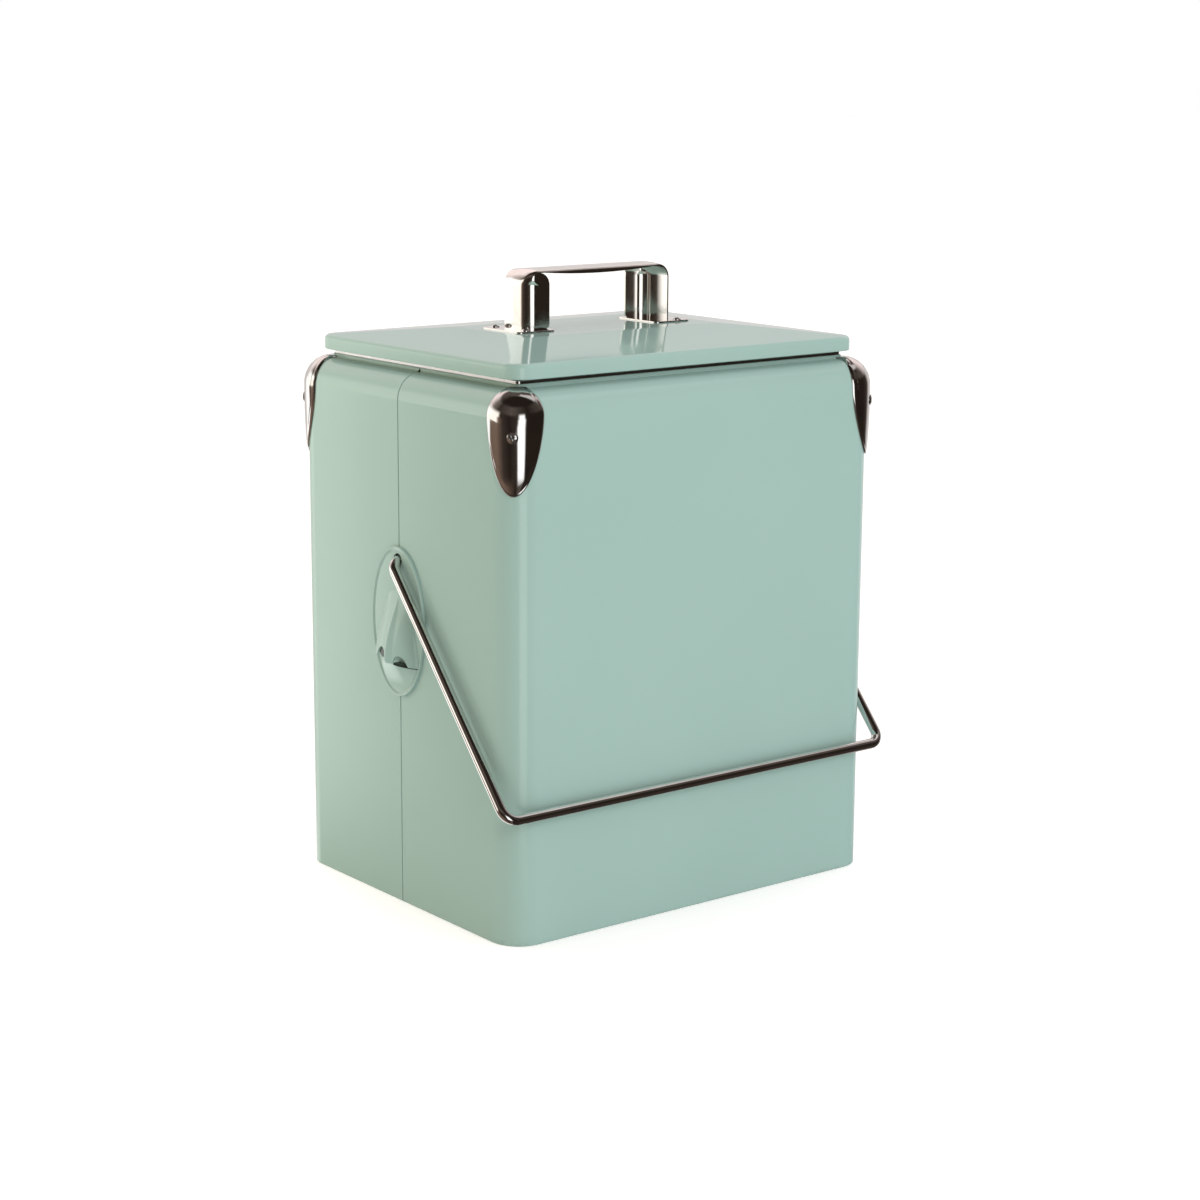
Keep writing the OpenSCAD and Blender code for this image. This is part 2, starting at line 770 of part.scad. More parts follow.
// The gap for fingers, with round corners on the flanges and a bellied lip above
module finger_gap() {
    half = handle_x - leg_w;
    top = handle_h - strap_t;
    belly = bridge_lip - strap_t;
    belly_r = (lip_reach * lip_reach + belly * belly) / (2 * belly);
    difference() {
        union() {
            translate([-half, -eps]) square([2 * half, top + eps]);
            for (m = [0, 1]) mirror([m, 0]) {
                translate([half, top]) mirror([0, 1]) corner_cut(flange_top_r);
                translate([half, 0]) corner_cut(flange_foot_r);
            }
        }
        translate([0, top - belly + belly_r]) circle(r = belly_r, $fn = 256);
    }
}

// What rounding takes off a corner that lies at the origin, right of and above it
module corner_cut(r) {
    difference() {
        translate([-eps, 0]) square([r + eps, r]);
        translate([r, r]) circle(r = r);
    }
}

// Plan of the strap: round where a leg meets its flange, square where it has none
module handle_plan(inset) {
    w = handle_w / 2 - inset;
    d = handle_d / 2 - inset;
    r = handle_edge_r - inset;
    square([2 * (w - r), 2 * d], center = true);
    square([2 * w, 2 * (d - r)], center = true);
    for (a = [0, 180]) rotate(a) {
        translate([w - r, d - r]) circle(r = r);
        translate([w - r, -d]) square([r, r]);
    }
}

module handle_body(inset) {
    intersection() {
        rotate([90, 0, 0]) linear_extrude(handle_d - 2 * inset, center = true) handle_arch(inset);
        translate([0, 0, -inset]) linear_extrude(handle_h) handle_plan(inset);
    }
}

// The side of each leg that has no flange: the front on the right, the rear on the left
module leg_openings() {
    for (a = [0, 180]) rotate([0, 0, a]) intersection() {
        rotate([90, 0, 0]) linear_extrude(2 * handle_d, center = true) handle_arch(strap_t);
        translate([handle_x - leg_w, -handle_d, -strap_t]) cube([handle_w, handle_d, handle_h]);
    }
}

module handle_foot(sx) {
    inner = handle_x - leg_w;
    outer = handle_x + foot_reach;
    foot_r = 4;
    linear_extrude(foot_t) translate([sx * (inner + outer) / 2, 0])
        round_rect(outer - inner, foot_d, foot_r);
}

module lid_handle() {
    color(satin) difference() {
        translate([0, 0, panel_z]) union() {
            difference() {
                handle_body(0);
                handle_body(strap_t);
                rotate([90, 0, 0]) linear_extrude(handle_d + 2 * eps, center = true) finger_gap();
                leg_openings();
            }
            for (sx = [-1, 1]) handle_foot(sx);
        }
        handle_screw_holes();
    }
}

module lid_handle_screws() {
    length = foot_t + lid_t + nut_h + 1;
    color(steel) for (sx = [-1, 1], sy = [-1, 1])
        translate([sx * screw_x, sy * screw_y, panel_z + foot_t]) union() {
            pan_head(lid_head_r, lid_head_h);
            translate([0, 0, -length]) cylinder(r = lid_screw_r, h = length);
        }
}

module lid_handle_nuts() {
    color(steel) for (sx = [-1, 1], sy = [-1, 1])
        translate([sx * screw_x, sy * screw_y, panel_z - lid_t - nut_h]) difference() {
            cylinder(r = nut_r, h = nut_h, $fn = 6);
            translate([0, 0, -eps]) cylinder(r = lid_screw_r + 0.02, h = nut_h + 2 * eps);
        }
}

front_shell();
rear_shell();
base_pan();
foam_front();
foam_rear();
foam_left();
foam_right();
foam_floor();
inner_liner();
rim_collar();
guard_front_left();
guard_front_right();
guard_rear_left();
guard_rear_right();
guard_screws();
side_plate_left();
side_plate_right();
bail_anchor_left();
bail_anchor_right();
bail_rod();
bail_retainers();
lid_shell();
lid_inner_pan();
lid_foam();
lid_gasket();
lid_handle();
lid_handle_screws();
lid_handle_nuts();
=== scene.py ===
"""Looks of a mint steel picnic chest: painted shell, bright guards, wire bail and hipped lid."""

import logging
import math
from collections.abc import Sequence
from dataclasses import dataclass, field
from enum import Enum

import bmesh
import bpy
from mathutils import Matrix, Vector


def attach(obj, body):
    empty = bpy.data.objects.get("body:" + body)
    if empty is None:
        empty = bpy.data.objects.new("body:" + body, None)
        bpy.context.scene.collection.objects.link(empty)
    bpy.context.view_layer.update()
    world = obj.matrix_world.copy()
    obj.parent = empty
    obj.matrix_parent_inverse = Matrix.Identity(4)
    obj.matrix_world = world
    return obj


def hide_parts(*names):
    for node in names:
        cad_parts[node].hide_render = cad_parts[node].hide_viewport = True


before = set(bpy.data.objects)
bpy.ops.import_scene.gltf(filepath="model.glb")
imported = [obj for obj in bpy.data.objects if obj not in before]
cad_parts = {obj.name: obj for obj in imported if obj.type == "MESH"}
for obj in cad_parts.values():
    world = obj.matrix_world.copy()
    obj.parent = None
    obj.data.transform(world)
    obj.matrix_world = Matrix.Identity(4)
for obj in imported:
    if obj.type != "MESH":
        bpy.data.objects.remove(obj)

LOG = logging.getLogger("picnic_chest")
MM = 0.001
CORNER_STEPS = 20
WELD = 1e-6
SHARP = 38.0
FLAT_WEIGHT = 80
ROUND_SIDES = 64

Pair = tuple[float, float]
Point = tuple[float, float, float]
Colour = tuple[float, float, float]


class Body(Enum):
    """The moving bodies that pieces ride on."""

    CHEST = "chest"
    BAIL = "bail"
    LID = "lid"


class Side(Enum):
    """Left or right of the chest, as the sign of X."""

    LEFT = -1
    RIGHT = 1


# ---------------------------------------------------------------- node trees


class Field:
    """A socket of a node tree that carries a number, with arithmetic that adds Math nodes."""

    def __init__(self, tree: "NodePlan", socket: bpy.types.NodeSocket) -> None:
        """Wraps a socket.

        Args:
            tree: The tree that the socket belongs to.
            socket: An output socket that gives a number.
        """
        self.tree = tree
        self.socket = socket

    def math(self, operation: str, *values: "Field | float") -> "Field":
        """Adds a Math node.

        Args:
            operation: The node's operation.
            *values: Its inputs, in order.

        Returns:
            The node's result.
        """
        node = self.tree.add("ShaderNodeMath", {"operation": operation}, dict(enumerate(values)))
        return Field(self.tree, node.outputs[0])

    def __add__(self, other: "Field | float") -> "Field":
        """Adds."""
        return self.math("ADD", self, other)

    __radd__ = __add__

    def __sub__(self, other: "Field | float") -> "Field":
        """Takes away."""
        return self.math("SUBTRACT", self, other)

    def __mul__(self, other: "Field | float") -> "Field":
        """Multiplies."""
        return self.math("MULTIPLY", self, other)

    __rmul__ = __mul__

    def __truediv__(self, other: "Field | float") -> "Field":
        """Divides."""
        return self.math("DIVIDE", self, other)

    def step(self, low: float, high: float) -> "Field":
        """Goes smoothly from 0 at low to 1 at high.

        Args:
            low: Where the result is 0.
            high: Where the result is 1; it may be below low.

        Returns:
            The eased result, from 0 to 1.
        """
        node = self.tree.add(
            "ShaderNodeMapRange",
            {"interpolation_type": "SMOOTHSTEP", "clamp": True},
            {"Value": self, "From Min": low, "From Max": high, "To Min": 0.0, "To Max": 1.0},
        )
        return Field(self.tree, node.outputs["Result"])


class NodePlan:
    """A node tree that is filled through one method for every kind of node."""

    def __init__(self, tree: bpy.types.NodeTree) -> None:
        """Takes over a tree and empties it.

        Args:
            tree: The tree to fill.
        """
        self.tree = tree
        tree.nodes.clear()

    def add(self, kind: str, settings: dict | None = None, values: dict | None = None) -> bpy.types.Node:
        """Adds a node, sets it up and joins its inputs.

        Args:
            kind: The node's type.
            settings: Its properties, which are set first; "stops" fills a colour ramp.
            values: Its input sockets by name or number, as numbers, Fields or output sockets.

        Returns:
            The new node.
        """
        node = self.tree.nodes.new(kind)
        for key, value in (settings or {}).items():
            if key == "stops":
                ramp = node.color_ramp
                while len(ramp.elements) < len(value):
                    ramp.elements.new(1.0)
                for element, (position, colour) in zip(ramp.elements, value):
                    element.position = position
                    element.color = (*colour, 1.0)
            else:
                setattr(node, key, value)
        for key, value in (values or {}).items():
            socket = node.inputs[key]
            if isinstance(value, Field):
                self.tree.links.new(value.socket, socket)
            elif isinstance(value, bpy.types.NodeSocket):
                self.tree.links.new(value, socket)
            elif isinstance(value, tuple) and len(value) == 3 and socket.type == "RGBA":
                socket.default_value = (*value, 1.0)
            else:
                socket.default_value = value
        return node


class MaterialPlan(NodePlan):
    """A material's tree, with the patterns that the finishes share."""

    def __init__(self, name: str) -> None:
        """Starts a material.

        Args:
            name: The material's name.
        """
        self.material = bpy.data.materials.new(name)
        self.material.use_nodes = True
        super().__init__(self.material.node_tree)
        self.place = self.add("ShaderNodeTexCoord").outputs["Object"]

    def stretched(self, scale: Colour, turn: Colour = (0.0, 0.0, 0.0)) -> bpy.types.NodeSocket:
        """Object coordinates, scaled along each axis.

        Args:
            scale: Scale along X, Y and Z.
            turn: Turn about X, Y and Z, in radians.

        Returns:
            The mapped coordinates.
        """
        node = self.add("ShaderNodeMapping", {}, {"Vector": self.place, "Scale": scale, "Rotation": turn})
        return node.outputs["Vector"]

    def axis(self, index: int) -> Field:
        """One object coordinate, in metres: 0 is X, 1 is Y and 2 is Z."""
        return Field(self, self.add("ShaderNodeSeparateXYZ", {}, {"Vector": self.place}).outputs[index])

    def noise(
        self, scale: float, detail: float = 2.0, where: bpy.types.NodeSocket | None = None
    ) -> Field:
        """Cloudy noise from 0 to 1.

        Args:
            scale: Cycles in each metre.
            detail: Octaves of finer noise.
            where: Coordinates to use in place of the plain object ones.

        Returns:
            The noise.
        """
        node = self.add(
            "ShaderNodeTexNoise",
            {"noise_dimensions": "3D"},
            {"Vector": where or self.place, "Scale": scale, "Detail": detail, "Roughness": 0.55},
        )
        return Field(self, node.outputs["Fac"])

    def cells(self, scale: float, feature: str, output: str) -> bpy.types.NodeSocket:
        """A cell pattern.

        Args:
            scale: Cells in each metre.
            feature: The Voronoi feature.
            output: The output to take.

        Returns:
            The chosen output socket.
        """
        node = self.add("ShaderNodeTexVoronoi", {"feature": feature}, {"Vector": self.place, "Scale": scale})
        return node.outputs[output]

    def blend(
        self, factor: Field | float, low: Colour | bpy.types.NodeSocket, high: Colour | bpy.types.NodeSocket
    ) -> bpy.types.NodeSocket:
        """Mixes two colours.

        Args:
            factor: 0 for the first colour and 1 for the second.
            low: The first colour.
            high: The second colour.

        Returns:
            The mixed colour.
        """
        node = self.add("ShaderNodeMix", {"data_type": "RGBA"}, {0: factor, 6: low, 7: high})
        return node.outputs[2]

    def finish(
        self,
        colour: bpy.types.NodeSocket,
        roughness: Field,
        height: Field | None = None,
        fixed: dict | None = None,
    ) -> bpy.types.Material:
        """Ends the material with its surface shader.

        Args:
            colour: Base colour.
            roughness: Roughness.
            height: Height of the surface's relief, in metres.
            fixed: Other sockets of the shader, as plain values.

        Returns:
            The finished material.
        """
        values = {"Base Color": colour, "Roughness": roughness, **(fixed or {})}
        if height is not None:
            bump = self.add("ShaderNodeBump", {}, {"Strength": 1.0, "Distance": 1.0, "Height": height})
            values["Normal"] = bump.outputs["Normal"]
        shader = self.add("ShaderNodeBsdfPrincipled", {}, values)
        self.add("ShaderNodeOutputMaterial", {}, {"Surface": shader.outputs["BSDF"]})
        return self.material


# ---------------------------------------------------------------- finishes


@dataclass(frozen=True)
class GlossPaint:
    """Stoved enamel on pressed sheet: smooth, with a faint orange peel and a slow wave."""

    name: str
    tone: Colour
    shade: Colour
    scuff: Colour = (0.225, 0.315, 0.285)
    # painted shade: near-black colour that stands in for the shade inside the opener's hood
    hollow: Colour = (0.012, 0.014, 0.013)
    roughness: float = 0.085
    wave: float = 0.00035

    def material(self) -> bpy.types.Material:
        """Builds the material.

        Returns:
            The finished material.
        """
        plan = MaterialPlan(self.name)
        cloud = plan.noise(7.0, 3.0)
        speck = plan.noise(420.0, 3.0)
        peel = plan.noise(650.0, 1.0)
        wave = plan.noise(1.0, 1.0, plan.stretched((7.0, 7.0, 2.2)))
        height = plan.axis(2)
        rub = (height + cloud * 0.006).step(0.0065, 0.0015) * speck.step(0.42, 0.62)
        colour = plan.blend(cloud.step(0.25, 0.75), self.tone, self.shade)
        colour = plan.blend(speck.step(0.72, 0.85) * 0.05, colour, self.scuff)
        colour = plan.blend(rub * 0.55, colour, self.scuff)
        roughness = cloud * 0.05 + peel * 0.02 + rub * 0.2 + (self.roughness - 0.035)
        relief = wave * self.wave + peel * 0.0000028
        # painted shade: points marked by this attribute turn near black, standing in for the shade inside the
        # hood
        shaded = Field(plan, plan.add("ShaderNodeAttribute", {"attribute_name": "hollow"}).outputs["Fac"])
        colour = plan.blend(shaded * (0.9 + cloud * 0.1), colour, self.hollow)
        return plan.finish(colour, roughness, relief, {"IOR": 1.5})


@dataclass(frozen=True)
class BrightMetal:
    """Plated or polished metal with faint smears and hairline scratches."""

    name: str
    tone: Colour
    shade: Colour
    roughness: float
    smear: float = 0.06
    scratch: float = 0.0000015

    def material(self) -> bpy.types.Material:
        """Builds the material.

        Returns:
            The finished material.
        """
        plan = MaterialPlan(self.name)
        smear = plan.noise(55.0, 4.0)
        hair = plan.noise(1.0, 2.0, plan.stretched((2600.0, 420.0, 160.0), (0.3, 0.2, 0.5)))
        colour = plan.blend(smear.step(0.3, 0.75), self.tone, self.shade)
        roughness = smear * self.smear + hair * self.smear * 0.4 + self.roughness
        relief = hair * self.scratch + smear * 0.00001
        return plan.finish(colour, roughness, relief, {"Metallic": 1.0})


@dataclass(frozen=True)
class BrushedMetal:
    """Satin metal with a grain along one axis."""

    name: str
    tone: Colour
    shade: Colour
    grain: Colour
    roughness: float = 0.24
    metal: float = 1.0

    def material(self) -> bpy.types.Material:
        """Builds the material.

        Returns:
            The finished material.
        """
        plan = MaterialPlan(self.name)
        grain = plan.noise(1.0, 3.0, plan.stretched(self.grain))
        cloud = plan.noise(40.0, 3.0)
        mixed = grain * 0.6 + cloud * 0.4
        colour = plan.blend(mixed.step(0.3, 0.7), self.tone, self.shade)
        roughness = grain * 0.05 + cloud * 0.04 + (self.roughness - 0.045)
        return plan.finish(colour, roughness, grain * 0.000002, {"Metallic": self.metal})


@dataclass(frozen=True)
class ZincPlate:
    """Zinc plated steel with a faint spangle."""

    name: str

    def material(self) -> bpy.types.Material:
        """Builds the material.

        Returns:
            The finished material.
        """
        plan = MaterialPlan(self.name)
        spangle = Field(plan, plan.cells(260.0, "F1", "Distance"))
        cloud = plan.noise(90.0, 3.0)
        colour = plan.blend(spangle.step(0.1, 0.7), (0.62, 0.64, 0.66), (0.44, 0.45, 0.46))
        roughness = spangle * 0.12 + cloud * 0.12 + 0.28
        return plan.finish(colour, roughness, spangle * 0.00001 + cloud * 0.00001, {"Metallic": 1.0})


@dataclass(frozen=True)
class BeadFoam:
    """Expanded foam, pressed from small beads."""

    name: str

    def material(self) -> bpy.types.Material:
        """Builds the material.

        Returns:
            The finished material.
        """
        plan = MaterialPlan(self.name)
        beads = Field(plan, plan.cells(330.0, "DISTANCE_TO_EDGE", "Distance"))
        cloud = plan.noise(25.0, 3.0)
        colour = plan.blend(beads.step(0.0, 0.12), (0.62, 0.60, 0.52), (0.86, 0.84, 0.76))
        colour = plan.blend(cloud.step(0.35, 0.8) * 0.3, colour, (0.78, 0.74, 0.62))
        return plan.finish(colour, cloud * 0.1 + 0.8, beads.step(0.0, 0.2) * 0.0003)


@dataclass(frozen=True)
class Rubber:
    """Black moulded rubber with a dusty bloom."""

    name: str

    def material(self) -> bpy.types.Material:
        """Builds the material.

        Returns:
            The finished material.
        """
        plan = MaterialPlan(self.name)
        bloom = plan.noise(120.0, 4.0)
        grain = plan.noise(1500.0, 2.0)
        colour = plan.blend(bloom.step(0.45, 0.8) * 0.6, (0.016, 0.016, 0.017), (0.06, 0.06, 0.058))
        return plan.finish(colour, bloom * 0.2 + 0.5, grain * 0.00002)


class Finish(Enum):
    """The finishes of the chest, each with its material slot."""

    PAINT = ("mint_paint", GlossPaint("mint_enamel", (0.316, 0.462, 0.431), (0.305, 0.449, 0.419)))
    GUARD = ("mirror_plate", BrightMetal("guard_mirror", (0.78, 0.765, 0.745), (0.68, 0.665, 0.645), 0.035))
    BAIL = ("bail_plate", BrightMetal("bail_mirror", (0.86, 0.84, 0.825), (0.76, 0.74, 0.725), 0.04))
    RIM = ("bright_rim", BrushedMetal(
        "rim_polish", (0.80, 0.79, 0.77), (0.66, 0.65, 0.63), grain=(90.0, 90.0, 2400.0), roughness=0.2,
    ))
    LINER = ("liner_steel", BrushedMetal(
        "liner_brush", (0.70, 0.71, 0.72), (0.58, 0.59, 0.60), grain=(1400.0, 1400.0, 30.0),
        roughness=0.38, metal=0.55,
    ))
    HANDLE = ("satin_nickel", BrushedMetal(
        "handle_satin", (0.90, 0.875, 0.84), (0.82, 0.79, 0.75), grain=(1500.0, 160.0, 60.0), roughness=0.10,
    ))
    SCREW = ("screw_steel", BrightMetal("screw_turned", (0.80, 0.79, 0.78), (0.62, 0.61, 0.60), 0.09, 0.08))
    ZINC = ("zinc_steel", ZincPlate("zinc_plate"))
    FOAM = ("white_foam", BeadFoam("bead_foam"))
    RUBBER = ("black_rubber", Rubber("gasket_rubber"))

    @property
    def slot(self) -> str:
        """The record's material slot."""
        return self.value[0]

    def material(self) -> bpy.types.Material:
        """The material, built once and then shared."""
        name = self.value[1].name
        return bpy.data.materials.get(name) or self.value[1].material()


# ---------------------------------------------------------------- mesh work


def arc(start: float, end: float, steps: int) -> list[float]:
    """Angles in radians from start to end, both given in degrees."""
    return [math.radians(start + (end - start) * i / steps) for i in range(steps + 1)]


def bend(centre: Pair, radius: float, start: float, end: float, steps: int) -> list[Pair]:
    """Points along part of a circle.

    Args:
        centre: The circle's middle.
        radius: Its radius.
        start: The first point's angle, in degrees.
        end: The last point's angle.
        steps: Steps between them.

    Returns:
        The points.
    """
    x, y = centre
    return [(x + radius * math.cos(a), y + radius * math.sin(a)) for a in arc(start, end, steps)]


def rect_ring(wide: float, deep: float, radius: float, height: float) -> list[Point]:
    """Points round a rectangle with round corners.

    Args:
        wide: Its size along X.
        deep: Its size along Y.
        radius: Its corners' radius.
        height: Its place along Z.

    Returns:
        The points, counter-clockwise from above.
    """
    points = []
    for sx, sy, start in ((1, 1, 0), (-1, 1, 90), (-1, -1, 180), (1, -1, 270)):
        middle = (sx * (wide / 2 - radius), sy * (deep / 2 - radius))
        points += [(x, y, height) for x, y in bend(middle, radius, start, start + 90, CORNER_STEPS)]
    return points


def smooth(value: float) -> float:
    """Eases a share from 0 to 1."""
    share = min(max(value, 0.0), 1.0)
    return share * share * (3 - 2 * share)


class MeshPlan:
    """Gathers rows of points in millimetres and joins them into one closed mesh."""

    def __init__(self) -> None:
        """Starts empty."""
        self.points: list[Point] = []
        self.faces: list[tuple[int, ...]] = []

    def row(self, points: Sequence[Point]) -> list[int]:
        """Adds a row of points.

        Args:
            points: The points.

        Returns:
            Their numbers.
        """
        first = len(self.points)
        self.points.extend(points)
        return list(range(first, len(self.points)))

    def bridge(self, low: Sequence[int], high: Sequence[int], around: bool = True) -> None:
        """Joins two rows with quads.

        Args:
            low: The first row.
            high: The second row, as long as the first.
            around: Whether each row closes on itself.
        """
        count = len(low)
        for i in range(count if around else count - 1):
            j = (i + 1) % count
            self.faces.append((low[i], low[j], high[j], high[i]))

    def cap(self, row: Sequence[int]) -> None:
        """Closes a row with one face."""
        self.faces.append(tuple(row))

    def loft(
        self, rows: Sequence[Sequence[Point]], around: bool = True, loop: bool = False
    ) -> list[list[int]]:
        """Joins rows of points one after another.

        Args:
            rows: The rows.
            around: Whether each row closes on itself.
            loop: Whether the last row joins the first.

        Returns:
            The numbers of the points, row by row.
        """
        numbers = [self.row(points) for points in rows]
        for low, high in zip(numbers, numbers[1:]):
            self.bridge(low, high, around)
        if loop:
            self.bridge(numbers[-1], numbers[0], around)
        return numbers

    def solid(self, rows: Sequence[Sequence[Point]]) -> None:
        """Joins closed rows and caps both ends.

        Args:
            rows: The rows.
        """
        numbers = self.loft(rows)
        self.cap(numbers[0])
        self.cap(numbers[-1])

    def build(self, name: str) -> bpy.types.Object:
        """Makes the object, with its doubles merged and its faces outwards.

        Args:
            name: The object's name.

        Returns:
            The new object, in the scene.
        """
        mesh = bpy.data.meshes.new(name)
        mesh.from_pydata([(x * MM, y * MM, z * MM) for x, y, z in self.points], [], self.faces)
        work = bmesh.new()
        work.from_mesh(mesh)
        bmesh.ops.remove_doubles(work, verts=work.verts, dist=WELD)
        bmesh.ops.dissolve_degenerate(work, edges=work.edges, dist=WELD)
        bmesh.ops.recalc_face_normals(work, faces=work.faces)
        work.to_mesh(mesh)
        work.free()
        piece = bpy.data.objects.new(name, mesh)
        bpy.context.scene.collection.objects.link(piece)
        return piece


def rim_of(rows: Sequence[Sequence[int]]) -> list[int]:
    """The points round the edge of a sheet of rows."""
    return [*rows[0], *[r[-1] for r in rows[1:]], *rows[-1][-2::-1], *[r[0] for r in rows[-2:0:-1]]]


def settle(piece: bpy.types.Object) -> None:
    """Turns a piece and its modifiers into one plain mesh.

    Args:
        piece: The piece, which is changed.
    """
    graph = bpy.context.evaluated_depsgraph_get()
    mesh = bpy.data.meshes.new_from_object(
        piece.evaluated_get(graph), preserve_all_data_layers=True, depsgraph=graph
    )
    old = piece.data
    piece.modifiers.clear()
    piece.data = mesh
    mesh.name = piece.name
    bpy.data.meshes.remove(old)


def cut(piece: bpy.types.Object, tool: bpy.types.Object) -> None:
    """Cuts a tool out of a piece, and removes the tool.

    Args:
        piece: The piece, which is changed.
        tool: The tool.
    """
    modifier = piece.modifiers.new("cut", "BOOLEAN")
    modifier.operation = "DIFFERENCE"
    modifier.solver = "EXACT"
    modifier.object = tool
    settle(piece)
    bpy.data.objects.remove(tool)


def join(piece: bpy.types.Object, part: bpy.types.Object) -> None:
    """Adds a part's mesh to a piece, and removes the part.

    Args:
        piece: The piece, which is changed.
        part: The part.
    """
    work = bmesh.new()
    work.from_mesh(piece.data)
    work.from_mesh(part.data)
    work.to_mesh(piece.data)
    work.free()
    bpy.data.objects.remove(part)


def bore(centre: Point, axis: Point, radius: float, length: float) -> bpy.types.Object:
    """A round tool for cutting a hole.

    Args:
        centre: The hole's middle, in millimetres.
        axis: Its direction.
        radius: Its radius.
        length: Its length.

    Returns:
        The tool.
    """
    plan = MeshPlan()
    turn = Vector((0, 0, 1)).rotation_difference(Vector(axis))
    rows = []
    for end in (-length / 2, length / 2):
        rows.append([
            tuple(Vector(centre) + turn @ Vector((radius * math.cos(a), radius * math.sin(a), end)))
            for a in arc(0, 360, ROUND_SIDES)[:-1]
        ])
    plan.solid(rows)
    return plan.build("bore")


def smooth_shade(piece: bpy.types.Object, sharp: float = SHARP) -> None:
    """Shades a piece smoothly between sharp edges, with large faces kept flat.

    Args:
        piece: The piece, which is changed.
        sharp: The least angle of a sharp edge, in degrees.
    """
    mesh = piece.data
    mesh.polygons.foreach_set("use_smooth", [True] * len(mesh.polygons))
    mesh.set_sharp_from_angle(angle=math.radians(sharp))
    modifier = piece.modifiers.new("weighted", "WEIGHTED_NORMAL")
    modifier.keep_sharp = True
    modifier.weight = FLAT_WEIGHT
    settle(piece)


def dress(piece: bpy.types.Object, finish: Finish, body: Body, *nodes: str) -> bpy.types.Object:
    """Gives a piece its finish and its body.

    Args:
        piece: The piece.
        finish: Its finish.
        body: The body it rides on.
        *nodes: The CAD nodes that it stands for.

    Returns:
        The piece.
    """
    piece.data.materials.clear()
    piece.data.materials.append(finish.material())
    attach(piece, body.value)
    finish.slot
    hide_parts(*nodes)
    LOG.info("%s: %d faces, %s, rides on %s", piece.name, len(piece.data.polygons), finish.slot, body.value)
    return piece


def finished(
    plan: MeshPlan, name: str, finish: Finish, body: Body, node: str, sharp: float = SHARP
) -> bpy.types.Object:
    """Builds a planned piece, shades it and dresses it.

    Args:
        plan: The piece's mesh.
        name: The piece's name.
        finish: Its finish.
        body: The body it rides on.
        node: The CAD node that it stands for.
        sharp: The least angle of a sharp edge, in degrees.

    Returns:
        The piece.
    """
    piece = plan.build(name)
    smooth_shade(piece, sharp)
    return dress(piece, finish, body, node)


def dress_node(name: str, finish: Finish) -> None:
    """Gives a CAD node that stays its finish.

    Args:
        name: The node's name.
        finish: Its finish.
    """
    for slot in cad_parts[name].material_slots:
        slot.material = finish.material()
    LOG.info("%s: CAD mesh kept, %s", name, finish.slot)


# ---------------------------------------------------------------- geometry node trees


class TreePlan(NodePlan):
    """A Geometry Nodes tree with named inputs."""

    def __init__(self, name: str, inputs: dict[str, tuple[str, object]]) -> None:
        """Starts a tree.

        Args:
            name: The tree's name.
            inputs: Each named input's socket type and value.
        """
        tree = bpy.data.node_groups.new(name, "GeometryNodeTree")
        super().__init__(tree)
        tree.interface.new_socket("Geometry", in_out="INPUT", socket_type="NodeSocketGeometry")
        tree.interface.new_socket("Geometry", in_out="OUTPUT", socket_type="NodeSocketGeometry")
        self.values = {}
        for label, (kind, value) in inputs.items():
            item = tree.interface.new_socket(label, in_out="INPUT", socket_type=kind)
            self.values[item.identifier] = value
        self.given = self.add("NodeGroupInput")

    def take(self, label: str) -> bpy.types.NodeSocket:
        """The output socket of a named input."""
        return self.given.outputs[label]

    def number(self, label: str) -> Field:
        """A named input as a number to reckon with."""
        return Field(self, self.take(label))

    def end(self, geometry: bpy.types.NodeSocket) -> None:
        """Ends the tree with real geometry and its material.

        Args:
            geometry: What the tree has made.
        """
        real = self.add("GeometryNodeRealizeInstances", {}, {0: geometry})
        made = self.add("GeometryNodeSetMaterial", {}, {
            "Geometry": real.outputs[0], "Material": self.take("Material"),
        })
        self.add("NodeGroupOutput", {}, {0: made.outputs[0]})

    def run(self, piece: bpy.types.Object) -> None:
        """Runs the tree on a piece and leaves the result as its plain mesh.

        Args:
            piece: The piece, which is changed.
        """
        modifier = piece.modifiers.new(self.tree.name, "NODES")
        modifier.node_group = self.tree
        for identifier, value in self.values.items():
            modifier[identifier] = value
        settle(piece)


def point_cloud(
    name: str, points: Sequence[Point], edges: Sequence[tuple[int, int]], attribute: str, values: Sequence
) -> bpy.types.Object:
    """A mesh of points and edges, without faces, that carries one attribute.

    Args:
        name: The object's name.
        points: The points, in millimetres.
        edges: The edges between them.
        attribute: The attribute's name.
        values: Its values, as numbers or as vectors.

    Returns:
        The object.
    """
    mesh = bpy.data.meshes.new(name)
    mesh.from_pydata([tuple(c * MM for c in p) for p in points], list(edges), [])
    is_vector = not isinstance(values[0], float)
    store = mesh.attributes.new(attribute, "FLOAT_VECTOR" if is_vector else "FLOAT", "POINT")
    flat = [c for v in values for c in v] if is_vector else list(values)
    store.data.foreach_set("vector" if is_vector else "value", flat)
    piece = bpy.data.objects.new(name, mesh)
    bpy.context.scene.collection.objects.link(piece)
    return piece


